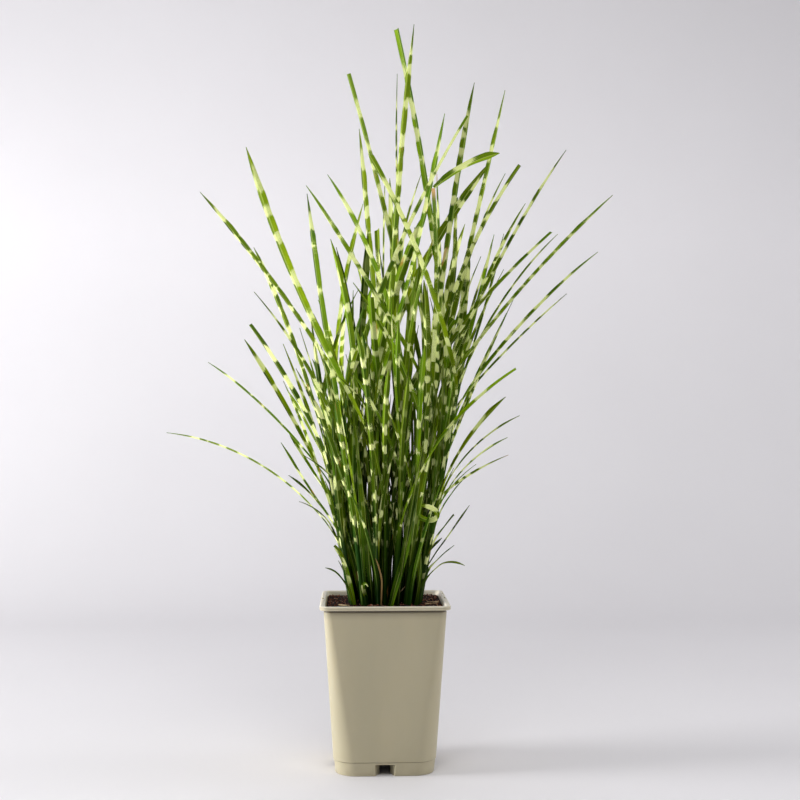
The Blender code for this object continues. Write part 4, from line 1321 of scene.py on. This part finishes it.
    # each colour lies over the ones before it
    colour = add("Mix", (band, green, pale), data_type="RGBA")
    for share, shade in ((rib, "pale"), (rust, "rust"), (dry, "dry")):
        colour = add("Mix", (share, colour, hexColour(look[shade])), data_type="RGBA")
    smooth, dull = look["roughness"]
    roughness = add("MapRange", {"Value": streak, "To Min": smooth, "To Max": dull})
    strength, depth = look["bump"]
    bump = add("Bump", {"Height": streak, "Strength": strength, "Distance": depth})
    return setFinish(material, shader, colour, roughness, bump)


potLook = {
    "body": "#aea68b",
    "warm": "#b4ab8f",
    "dusty": "#8f866e",
    "lipShadow": "#4b4335",         # painted shadow in the groove under the lip
    # painted shade for the step over the foot and the drainage channels
    "recessShade": "#2a2118",
    "lipShadowShare": (0.9, 0.26),  # in the groove, and just under it
    "lipShadowFall": 9 * mm,
    "rimLight": "#e6e0d2",        # painted light: the lip is painted paler, and so is its inner wall above the soil
    "rimLightLip": (0.15, 0.7),
    "rimLightInside": 0.85,
    "seamShare": 0.35,          # painted shade in the step over the foot
    "channelShare": 0.97,       # and painted shade in the drainage channels under the floor
    "flow": (38.5 * mm, 38.5 * mm, 200 * mm),   # faint flow marks, long in the walls' direction
    "grain": 1.11 * mm,         # the real grain is finer and wouldn't show
    "scuff": 16.7 * mm,         # patches of dust near the ground
    "dustHigh": 30 * mm,
    "dustShare": 0.35,
    "roughness": (0.36, 0.5),
    "bump": (0.12, 0.1 * mm),
}


def potMaterial():
    # injection-moulded polypropylene: an even satin skin with a very fine spark-eroded grain,
    # faint flow marks down the walls, and a little light soaking into the thin rim
    look = potLook
    material, add, shader = newMaterial(
        "injection-moulded polypropylene, taupe", IOR=1.49, Subsurface_Weight=0.45,
        Subsurface_Radius=(1.0, 0.9, 0.7), Subsurface_Scale=4 * mm)
    place = add("TexCoord").outputs["Object"]
    x, y, height = add("SeparateXYZ", (place,)).outputs
    fromX = add("Math", (x,), operation="ABSOLUTE")
    fromY = add("Math", (y,), operation="ABSOLUTE")
    stretched = add("Mapping", {"Vector": place, "Scale": [1 / size for size in look["flow"]]})
    flow = add("TexNoise", {"Vector": stretched, "Scale": 1.0, "Detail": 3.0})
    grain = add("TexNoise", {"Vector": place, "Scale": 1 / look["grain"], "Detail": 2.0})
    mottle = add("MapRange", {"Value": flow, "From Min": 0.3, "From Max": 0.7})

    # dust near the ground, and painted shadow in the groove under the lip and just below it
    nearGround = add("MapRange", {"Value": height, "From Max": look["dustHigh"],
                                  "To Min": look["dustShare"], "To Max": 0.0})
    scuff = add("TexNoise", {"Vector": place, "Scale": 1 / look["scuff"], "Detail": 4.0})
    scuffed = add("MapRange", {"Value": scuff, "From Min": 0.4, "From Max": 0.8})
    dust = add("Math", (nearGround, scuffed), operation="MULTIPLY")
    lip = pot["height"] - pot["lipHeight"]
    # painted shadow: the groove and a band under the lip are painted dark, fading downwards
    inGroove, under = look["lipShadowShare"]
    groove = lip - pot["creviceHeight"]
    fading = add("MapRange", {"Value": height, "From Min": groove - look["lipShadowFall"],
                              "From Max": groove, "To Max": under})
    full = add("MapRange", {"Value": height, "From Min": groove, "From Max": groove + 0.5 * mm,
                            "To Min": 0.0, "To Max": inGroove - under})
    below = add("Math", (height, lip - 0.05 * mm), operation="LESS_THAN")
    lipShadow = add("Math", (add("Math", (fading, full)), below), operation="MULTIPLY")

    # painted shade in the step over the foot and in the drainage channels
    foot = pot["footHeight"]
    seam = add("Math", (height, foot + 0.4 * mm, 0.5 * mm), operation="COMPARE")
    seam = add("Math", (seam, look["seamShare"]), operation="MULTIPLY")
    low = add("Math", (height, foot - 0.5 * mm), operation="LESS_THAN")
    outwards = add("Math", (fromX, fromY), operation="MAXIMUM")
    deep = add("MapRange", {"Value": outwards, "From Min": pot["baseHalf"] - pot["notchDepth"],
                            "From Max": pot["baseHalf"] - 4 * mm,
                            "To Min": look["channelShare"], "To Max": 0.0})
    onAxis = add("Math", (fromX, fromY), operation="MINIMUM")
    within = add("Math", (onAxis, pot["channelWidth"] / 2 + 0.3 * mm), operation="LESS_THAN")
    low = add("Math", (low, within), operation="MULTIPLY")
    deep = add("Math", (deep, low), operation="MULTIPLY")
    recessShade = add("Math", (seam, deep), operation="MAXIMUM")

    # painted light: the top of the lip and the inner walls, which face the middle of the pot, are
    # painted paler
    top = pot["height"]
    onLip, onTop = look["rimLightLip"]
    rimLight = add("MapRange", {"Value": height, "From Min": top - 1.4 * mm, "From Max": top - 0.3 * mm,
                              "To Min": onLip, "To Max": onTop})
    above = add("Math", (height, lip - 0.2 * mm), operation="GREATER_THAN")
    rimLight = add("Math", (rimLight, above), operation="MULTIPLY")
    facing = add("TexCoord").outputs["Normal"]
    sideways = add("CombineXYZ", (x, y, 0.0))
    facing = add("VectorMath", (facing, sideways), operation="DOT_PRODUCT").outputs["Value"]
    within = add("Math", (facing, -0.3 * pot["rimHalf"]), operation="LESS_THAN")
    within = add("Math", (within, look["rimLightInside"]), operation="MULTIPLY")
    rimLight = add("Math", (rimLight, within), operation="MAXIMUM")

    # each colour lies over the ones before it
    colour = hexColour(look["body"])
    for share, shade in ((mottle, "warm"), (dust, "dusty"), (lipShadow, "lipShadow"), (recessShade, "recessShade"),
                         (rimLight, "rimLight")):
        colour = add("Mix", (share, colour, hexColour(look[shade])), data_type="RGBA")
    smooth, dull = look["roughness"]
    roughness = add("MapRange", {"Value": flow, "To Min": smooth, "To Max": dull})
    strength, depth = look["bump"]
    bump = add("Bump", {"Height": grain, "Strength": strength, "Distance": depth})
    return setFinish(material, shader, colour, roughness, bump)


soilLook = {
    "dark": "#180a05",
    "brown": "#40200f",
    "red": "#8a5440",
    "pale": "#a98a76",
    "grit": 2.38 * mm,
    "steps": ((0.25, 0.7, "brown"), (0.66, 0.86, "red"), (0.86, 0.9, "pale")),
    "bump": (0.8, 1.2 * mm),
}


def soilMaterial():
    # bark and peat compost: matt crumbs from near black to red-brown, with a few pale fibres
    look = soilLook
    material, add, shader = newMaterial("bark and peat compost", Roughness=0.93,
                                         Specular_IOR_Level=0.15)
    place = add("TexCoord").outputs["Object"]
    tone = add("Attribute", attribute_name="crumbTone").outputs["Fac"]
    fine = add("TexNoise", {"Vector": place, "Scale": 1 / look["grit"], "Detail": 4.0,
                            "Roughness": 0.7})
    mixed = add("Math", (tone, 0.6, add("Math", (fine, 0.6), operation="MULTIPLY")),
                operation="MULTIPLY_ADD")
    colour = hexColour(look["dark"])
    for low, high, shade in look["steps"]:
        share = add("MapRange", {"Value": mixed, "From Min": low, "From Max": high})
        colour = add("Mix", (share, colour, hexColour(look[shade])), data_type="RGBA")
    strength, depth = look["bump"]
    bump = add("Bump", {"Height": fine, "Strength": strength, "Distance": depth})
    return setFinish(material, shader, colour, None, bump)


strawLook = {
    "bright": "#d9c096",
    "brown": "#8d6f4a",
    "fibre": (1.43 * mm, 1.43 * mm, 6.25 * mm),
    "bump": (0.5, 0.2 * mm),
}


def strawMaterial():
    # last year's leaf, dried: matt and fibrous, buff with brown streaks along it
    look = strawLook
    material, add, shader = newMaterial("dry grass straw", Roughness=0.8)
    place = add("TexCoord").outputs["Object"]
    along = add("Mapping", {"Vector": place, "Scale": [1 / size for size in look["fibre"]]})
    fibre = add("TexNoise", {"Vector": along, "Scale": 1.0, "Detail": 3.0})
    share = add("MapRange", {"Value": fibre, "From Min": 0.35, "From Max": 0.7})
    colour = add("Mix", (share, hexColour(look["bright"]), hexColour(look["brown"])), data_type="RGBA")
    strength, depth = look["bump"]
    bump = add("Bump", {"Height": fibre, "Strength": strength, "Distance": depth})
    return setFinish(material, shader, colour, None, bump)


# pot: the solid's form with rounder corners, a beaded rim and softened edges

pot = {
    "height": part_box("pot")[1].z,
    "rimHalf": 77 * mm,
    "rimCorner": 11 * mm,
    "lipHeight": 4.9 * mm,
    "wall": 1.8 * mm,
    "baseHalf": 58.6 * mm,
    "footHeight": 15.8 * mm,
    "footHalf": 60.2 * mm,
    "bodyHalf": 61.0 * mm,
    "neckHalf": 72.2 * mm,
    "baseCorner": 25 * mm,
    "neckCorner": 9 * mm,
    "floor": 1.8 * mm,
    "cornerSteps": 14,
    "sideSteps": 8,
    "channelHeight": 13.6 * mm,
    "channelWidth": 12 * mm,
    "notchWidth": 26 * mm,
    "notchDepth": 13 * mm,
    "drainRadius": 4 * mm,
    "drainSpacing": 27 * mm,
    "rimHoleRadius": 1.1 * mm,
    "rimHoleReach": 74.2 * mm,
    "rimHoles": ((0, 6), (40, 4)),  # mm along the side rims, and how many times longer than wide
    "creviceHeight": 2.8 * mm,  # a groove runs round under the lip
    "creviceDepth": 1.0 * mm,
    "bow": 0.5 * mm,            # how far the walls sag inwards half way along a side
    "over": 4 * mm,             # how far a cutter reaches past what it cuts
    "outerRings": 14,
    "innerRings": 10,
    # profiles, in mm: the height over where each starts, and how far inside its outline it is
    "edge": ((0, 1.0), (0.3, 0.3), (1.0, 0)),
    "step": ((0.25, 0.9), (0.9, 0.1)),
    "crevice": ((0, 0), (0.3, 0.2), (0.5, 1.0)),
    "floorEdge": ((1.5, 0), (0.4, 0.5), (0, 1.6)),
    "lip": ((0.05, 4.2), (0, 1.5), (0.25, 0.7), (0.8, 0.45), (1.7, 0.4), (2.1, 0.75), (2.5, 0.8),
            (2.9, 0.3), (3.5, 0.02)),
    "bead": ((-1.2, 0.1), (-0.45, 0.6), (-0.08, 1.5), (0, 2.6)),
    "innerLip": ((-0.15, -1.6), (-0.5, -0.5), (-1.2, 0)),
    "sharpAbove": 38,
}


def squareRing(half, corner, height, bow=0.0):
    # a rounded square with points along its sides too, which may bow inwards
    points = []
    steps = pot["cornerSteps"]
    sides = pot["sideSteps"]
    for quarter in range(4):
        turn = Matrix.Rotation(quarter * math.pi / 2, 3, "Z")
        for step in range(steps + 1):
            angle = step / steps * math.pi / 2
            spot = Vector((half - corner + corner * math.cos(angle),
                           half - corner + corner * math.sin(angle), height))
            points.append(turn @ spot)
        reach = half - corner
        for step in range(1, sides):
            share = step / sides
            inwards = bow * math.sin(share * math.pi) ** 2
            points.append(turn @ Vector((reach - 2 * reach * share, half - inwards, height)))
    return points


def wallAt(height):
    # half the width, the corners' radius and the bow of the wall
    share = (height - pot["footHeight"]) / (pot["height"] - pot["lipHeight"] - pot["footHeight"])
    half = pot["bodyHalf"] + (pot["neckHalf"] - pot["bodyHalf"]) * share
    corner = pot["baseCorner"] + (pot["neckCorner"] - pot["baseCorner"]) * share
    return half, corner, pot["bow"] * math.sin(max(0.0, share) * math.pi)


def wallRing(height, inset=0.0):
    half, corner, bow = wallAt(height)
    return squareRing(half - inset, corner - inset, height, bow)


def footRing(height, inset=0.0):
    half = pot["baseHalf"] + (pot["footHalf"] - pot["baseHalf"]) * height / pot["footHeight"]
    return squareRing(half - inset, pot["baseCorner"] - inset, height)


def channelCross(grow, low, high, over=pot["over"]):
    # the crossed drainage channels, flared where they come out as notches in the foot
    reach = pot["baseHalf"] + over
    narrow = pot["channelWidth"] / 2 + grow
    wide = pot["notchWidth"] / 2 + grow
    flare = pot["baseHalf"] - pot["notchDepth"]
    arm = ((narrow, -narrow), (flare, -narrow), (reach, -wide), (reach, wide), (flare, narrow))
    outline = []
    for quarter in range(4):
        turn = Matrix.Rotation(quarter * math.pi / 2, 2)
        outline += [turn @ Vector(point) for point in arm]
    return loft([[Vector((*point, low)) for point in outline],
                 [Vector((*point, high)) for point in outline]])


def drill(radius, low, high, x, y, longer=1.0):
    # a round hole, or a slot that is longer than wide
    bm = bmesh.new()
    place = Matrix.Translation((x, y, (low + high) / 2)) @ Matrix.Diagonal((1.0, longer, 1.0, 1.0))
    bmesh.ops.create_cone(bm, cap_ends=True, segments=24, radius1=radius, radius2=radius,
                          depth=high - low, matrix=place)
    return bm


def ringsUp(ring, start, profile, inset=0.0):
    return [ring(start + up * mm, inset + inwards * mm) for up, inwards in profile]


def rimRings():
    # the lip from its underside out, up over the bead and down to the inner wall
    top = pot["height"]
    half = pot["rimHalf"]
    inner = wallAt(top)[0] - pot["wall"]
    profile = []
    for start, outline, name in ((top - pot["lipHeight"], half, "lip"), (top, half, "bead"),
                                 (top, inner, "innerLip")):
        profile += [(start + up * mm, outline - inwards * mm) for up, inwards in pot[name]]
    return [squareRing(reach, pot["rimCorner"] - (half - reach), height) for height, reach in profile]


def makePot(material):
    over = pot["over"]
    top = pot["height"]
    low = top - pot["lipHeight"]
    foot = pot["footHeight"]
    gap = pot["wall"]
    groove = low - pot["creviceHeight"]
    outer = np.linspace(foot + 5 * mm, groove - 1 * mm, pot["outerRings"])
    inner = np.linspace(top - 6 * mm, foot + 6 * mm, pot["innerRings"])
    rings = ringsUp(footRing, 0.0, pot["edge"])
    rings += [footRing(foot * 0.5), footRing(foot - 0.5 * mm), footRing(foot)]
    rings += ringsUp(wallRing, foot, pot["step"])
    rings += [wallRing(height) for height in outer]
    rings += ringsUp(wallRing, groove, pot["crevice"])
    rings.append(wallRing(low - 0.1 * mm, pot["creviceDepth"]))
    rings += rimRings()
    rings += [wallRing(height, gap) for height in inner]
    rings.append(footRing(foot, gap))
    rings += ringsUp(footRing, pot["floor"], pot["floorEdge"], gap)
    piece = newPiece("pot_shell", loft(rings), material)

    channel = pot["channelHeight"]
    ribHigh = channel + gap
    combine(piece, channelCross(gap, pot["floor"] * 0.5, ribHigh, -gap / 2), "UNION")
    combine(piece, channelCross(0.0, -over, channel))
    spacing = pot["drainSpacing"]
    turns = [quarter * math.pi / 2 for quarter in range(4)]
    drains = [(0.0, 0.0)] + [(spacing * math.cos(turn), spacing * math.sin(turn)) for turn in turns]
    for x, y in drains:
        combine(piece, drill(pot["drainRadius"], channel - over, ribHigh + over, x, y))
    for side in (-1, 1):
        for along, longer in pot["rimHoles"]:
            combine(piece, drill(pot["rimHoleRadius"], low - over, top + over,
                                 side * pot["rimHoleReach"], along * mm, longer))
    piece.data.shade_smooth()
    piece.data.set_sharp_from_angle(angle=math.radians(pot["sharpAbove"]))
    settle(piece, "pot_plastic", "pot")


# compost: a lumpy top, and crumbs strewn over it by Geometry Nodes

compost = {
    "lift": 1.8 * mm,           # the crumbs lie higher than the solid's top
    "lumps": ((22 * mm, 0.7), (9 * mm, 0.4), (4 * mm, 0.22)),
    "edgeDrop": 1.5 * mm,       # it sinks by this where it meets the wall
    "edgeFrom": (0.93, 0.07),   # from this share of the way out, over this share
    "gap": 0.3 * mm,            # to the wall
    "middle": 100 * mm,
    "rings": 26,
    "ringShares": (0.985, 0.03),
    "crumbs": 150000.0,         # per square metre
    "crumbRadius": 1.15 * mm,
    "chips": 11000.0,
    "chipRadius": 2.2 * mm,
    "flatness": (0.75, 0.35),   # of a crumb and of a chip of bark
    "unevenness": 0.6,
    "roughness": 700.0,         # knobs of about 1.4 mm
    "sunk": 0.2 * mm,
    "sheetCells": 40,
    "margin": 2.5 * mm,
    "seed": 5,
}


def soilHeight(x, y):
    lift = sum(share * noise.noise(Vector((x, y, 0.0)) / width) for width, share in compost["lumps"])
    return plant["soilTop"] + compost["lift"] + plant["soilLump"] * lift


def makeSoil(material):
    gap = pot["wall"] + compost["gap"]
    edgeHeight = plant["soilTop"] + compost["lift"] - compost["edgeDrop"]
    rings = [footRing(pot["floor"] + compost["gap"], gap), footRing(pot["footHeight"], gap),
             wallRing(compost["middle"], gap), wallRing(edgeHeight, gap)]
    edge = rings[-1]
    start, reach = compost["edgeFrom"]
    for share in np.linspace(*compost["ringShares"], compost["rings"]):
        drop = compost["edgeDrop"] * max(0.0, (share - start) / reach)
        spots = [(point.x * share, point.y * share) for point in edge]
        rings.append([Vector((x, y, soilHeight(x, y) - drop)) for x, y in spots])
    piece = newPiece("compost_block", loft(rings), material)
    combine(piece, channelCross(gap, -pot["over"], pot["channelHeight"] + gap))
    piece.data.shade_smooth()
    settle(piece, "compost", "soil")


def crumbTree():
    # strews rough grains over the upper faces, each with its own size, turn and tone
    tree, source, target = newTree("strewCrumbs", (
        ("Crumbs Per Square Metre", "NodeSocketFloat", compost["crumbs"]),
        ("Crumb Radius", "NodeSocketFloat", compost["crumbRadius"]),
        ("Flatness", "NodeSocketFloat", compost["flatness"][0]),
        ("Unevenness", "NodeSocketFloat", compost["unevenness"]),
        ("Seed", "NodeSocketInt", compost["seed"]),
        ("Material", "NodeSocketMaterial", None)))
    add = partial(addNode, tree)
    seed = source.outputs["Seed"]
    radius = source.outputs["Crumb Radius"]
    points = add("DistributePointsOnFaces", {"Mesh": source.outputs["Geometry"], "Seed": seed,
                                             "Density": source.outputs["Crumbs Per Square Metre"]})
    tone = add("RandomValue", {"Seed": seed}, data_type="FLOAT")
    toned = add("StoreNamedAttribute", {"Geometry": points, "Name": "crumbTone", "Value": tone},
                data_type="FLOAT")
    grain = add("MeshIcoSphere", {"Radius": 1.0, "Subdivisions": 1})
    turn = add("RandomValue", {"Max": (fullTurn, fullTurn, fullTurn), "Seed": seed},
               data_type="FLOAT_VECTOR")
    size = add("RandomValue", {"Min": 0.3, "Max": 1.0, "Seed": seed}, data_type="FLOAT")
    grown = add("Math", (add("Math", (size, 2.0), operation="POWER"), radius), operation="MULTIPLY")
    flat = add("Math", (grown, source.outputs["Flatness"]), operation="MULTIPLY")
    strewn = add("InstanceOnPoints", {"Points": toned, "Instance": grain, "Rotation": turn,
                                      "Scale": add("CombineXYZ", (grown, grown, flat))})
    realized = add("RealizeInstances", {"Geometry": strewn})
    rough = add("TexNoise", {"Vector": add("InputPosition"), "Scale": compost["roughness"],
                             "Detail": 1.0})
    centred = add("VectorMath", (rough.outputs["Color"], (0.5, 0.5, 0.5)), operation="SUBTRACT")
    push = add("Math", (radius, source.outputs["Unevenness"]), operation="MULTIPLY")
    moved = add("VectorMath", {"Vector": centred, "Scale": push}, operation="SCALE")
    bent = add("SetPosition", {"Geometry": realized, "Offset": moved})
    add("SetMaterial", {"Geometry": bent, "Material": source.outputs["Material"]})
    tree.links.new(tree.nodes[-1].outputs[0], target.inputs[0])
    return tree


def soilSkin(name, least):
    # the top of the compost as an open sheet, only as something to strew on
    bm = bmesh.new()
    reach = wallAt(plant["soilTop"])[0] - pot["wall"] - compost["margin"]
    cells = compost["sheetCells"]
    bmesh.ops.create_grid(bm, x_segments=cells, y_segments=cells, size=reach)
    for vertex in bm.verts:
        vertex.co.z = soilHeight(vertex.co.x, vertex.co.y) - least
    return linked(name, meshOf(name, bm))


def makeCrumbs(material):
    # small crumbs all over, and fewer, flatter chips of bark between them
    tree = crumbTree()
    crumbFlat, chipFlat = compost["flatness"]
    for name, sunk, count, radius, flat, seed in (
            ("compost_crumbs", compost["sunk"], compost["crumbs"], compost["crumbRadius"],
             crumbFlat, compost["seed"]),
            ("bark_chips", 0.0, compost["chips"], compost["chipRadius"],
             chipFlat, compost["seed"] + 3)):
        piece = soilSkin(name, sunk)
        runTree(piece, tree, {"Crumbs Per Square Metre": count, "Crumb Radius": radius,
                              "Flatness": flat, "Unevenness": compost["unevenness"],
                              "Seed": seed, "Material": material})
        settle(piece, "compost")


# dead stem and loose straws

deadParts = {
    "stem": ((18, -16, 182), (18, -16, 201), (17.6, -19, 208), (24, -22, 216), (32, -24, 220)),
    "stemRadius": 1.2 * mm,
    "stemSteps": 30,
    "stemFlat": 0.6,
    "twig": ((17.8, -17.5, 208), (15.6, -18.5, 214), (14.4, -19.5, 221)),
    "twigShare": 0.6,
    "twigSteps": 12,
    "twigFlat": 0.7,
    "straws": {
        "straw_1": ((49, -30), (56, -27), (63, -30)),
        "straw_2": ((52, -14), (59, -20), (66, -18)),
        "straw_3": ((-55, -36), (-49, -40), (-42, -41)),
    },
    "strawRadius": 0.9 * mm,
    "strawSteps": 18,
    "strawFlat": 0.5,
    "strawLift": 0.4 * mm,
    "sides": 10,
    "swell": 0.22,              # how much the thickness varies
    "swellEvery": 7,
    "shrink": 0.45,             # how much thinner the end is
    "twist": 1.5,               # radians from end to end
    "ridges": (3, 0.12),
    "sharpAbove": 50,
}


def dryRod(bm, points, radius, count, flatness, seed):
    # a shrivelled stalk: an oval section that shrinks, twists and swells a little on its way
    form = deadParts
    line = curvedLine(points, count)
    along = unit(np.gradient(line, axis=0))
    ridges, ridgeShare = form["ridges"]
    rings = []
    for i, (place, way) in enumerate(zip(line, along)):
        aside = unit(np.cross(way, (0.0, 1.0, 0.2)))
        up = np.cross(way, aside)
        share = i / (count - 1)
        swell = 1 + form["swell"] * noise.noise(Vector((share * form["swellEvery"], seed, 0.0)))
        size = radius * swell * (1 - form["shrink"] * share)
        turn = form["twist"] * share + seed
        ring = []
        for side in range(form["sides"]):
            angle = side / form["sides"] * math.tau
            x = math.cos(angle) * size * (1 + ridgeShare * math.sin(ridges * angle))
            y = math.sin(angle) * size * flatness
            offset = aside * (x * math.cos(turn) - y * math.sin(turn))
            ring.append(place + (offset + up * (x * math.sin(turn) + y * math.cos(turn))))
        rings.append(ring)
    loft(rings, bm)


def makeDeadParts(material):
    form = deadParts
    radius = form["stemRadius"]
    bm = bmesh.new()
    dryRod(bm, np.array(form["stem"]) * mm, radius, form["stemSteps"], form["stemFlat"], 1.0)
    dryRod(bm, np.array(form["twig"]) * mm, radius * form["twigShare"], form["twigSteps"],
           form["twigFlat"], 2.0)
    settle(newPiece("dry_stem", bm, material, form["sharpAbove"]), "straw", "dead_stem")
    radius = form["strawRadius"]
    for index, (name, flatPoints) in enumerate(form["straws"].items()):
        level = max(soilHeight(x * mm, y * mm) for x, y in flatPoints) + radius
        points = [(x * mm, y * mm, level + form["strawLift"]) for x, y in flatPoints]
        bm = bmesh.new()
        dryRod(bm, points, radius, form["strawSteps"], form["strawFlat"], index + 3.0)
        settle(newPiece("dry_" + name, bm, material, form["sharpAbove"]), "straw", name)


# studio: a pale floor that sweeps up into the background, soft lights and the camera

studio = {
    "floor": "#e6e4e7",
    "floorSoft": "#e2e0e3",
    "cloud": 0.333,             # metres, the size of the floor's faint clouds
    "floorHalf": 7.0,
    "floorFront": -6.0,
    "sweepFrom": 1.1,           # the floor sweeps up from here, behind the plant
    "sweepRadius": 1.0,
    "sweepSteps": 16,
    "wallTop": 6.0,
    "eye": (-0.0360, -1.4997, 0.3996),
    "forward": (0.0370, 0.9989, 0.0283),
    "lens": 55.0,
    "sensor": 36.0,
    "world": 0.25,
    "worldColour": (0.98, 0.98, 1.0, 1.0),
    # each soft white light: where it hangs, what it points at, its size and its power
    "lights": {
        "leftSide": ((-2.8, -0.2, 0.55), (0, 0, 0.3), (0.9, 0.9), 108.0),
        "rightSide": ((2.6, 0.1, 0.6), (0, 0, 0.3), (0.8, 0.9), 22.0),
        "overhead": ((0.0, 0.2, 2.2), (0, 0.05, 0.0), (1.6, 1.2), 9.0),
        "frontFloor": ((0.0, -1.3, 1.7), (0, -1.2, 0), (1.6, 0.8), 17.0),
    },
}


def makeFloor():
    half = studio["floorHalf"]
    behind, radius, steps = studio["sweepFrom"], studio["sweepRadius"], studio["sweepSteps"]
    profile = [(studio["floorFront"], 0.0), (behind, 0.0)]
    for step in range(1, steps + 1):
        angle = step / steps * math.pi / 2
        profile.append((behind + radius * math.sin(angle), radius * (1 - math.cos(angle))))
    profile.append((behind + radius, studio["wallTop"]))
    bm = bmesh.new()
    rows = [[bm.verts.new((x, y, z)) for x in (-half, half)] for y, z in profile]
    for low, high in zip(rows, rows[1:]):
        bm.faces.new((low[0], low[1], high[1], high[0]))
    mesh = meshOf("studio_floor", bm)
    mesh.shade_smooth()
    material, add, shader = newMaterial("matt painted studio floor", Roughness=0.7)
    soft = add("TexNoise", {"Vector": add("TexCoord").outputs["Object"],
                            "Scale": 1 / studio["cloud"]})
    tint = add("Mix", (soft, hexColour(studio["floor"]), hexColour(studio["floorSoft"])),
               data_type="RGBA")
    mesh.materials.append(setFinish(material, shader, tint, None, None))
    linked("studio_floor", mesh)


def aim(thing, place, way):
    thing.location = place
    thing.rotation_euler = Vector(way).to_track_quat("-Z", "Y").to_euler()


def makeStudio():
    makeFloor()
    for name, (place, target, size, power) in studio["lights"].items():
        data = bpy.data.lights.new(name, "AREA")
        data.shape = "RECTANGLE"
        data.size, data.size_y = size
        data.energy = power
        aim(linked(name, data), place, Vector(target) - Vector(place))
    world = bpy.data.worlds.new("studio")
    world.use_nodes = True
    background = world.node_tree.nodes["Background"]
    background.inputs["Color"].default_value = studio["worldColour"]
    background.inputs["Strength"].default_value = studio["world"]
    bpy.context.scene.world = world

    camera = linked("camera", bpy.data.cameras.new("camera"))
    camera.data.lens = studio["lens"]
    camera.data.sensor_width = studio["sensor"]
    aim(camera, studio["eye"], studio["forward"])
    bpy.context.scene.camera = camera
    bpy.context.scene.view_settings.view_transform = "Standard"     # keeps the leaves' full colour


makeStudio()
print("studio ready")
makePot(potMaterial())
print("pot done")
soilFinish = soilMaterial()
makeSoil(soilFinish)
makeCrumbs(soilFinish)
print("compost done")
makeDeadParts(strawMaterial())
print("dry parts done")
makeLeaves(layOut(), leafMaterial())
print("leaves done")
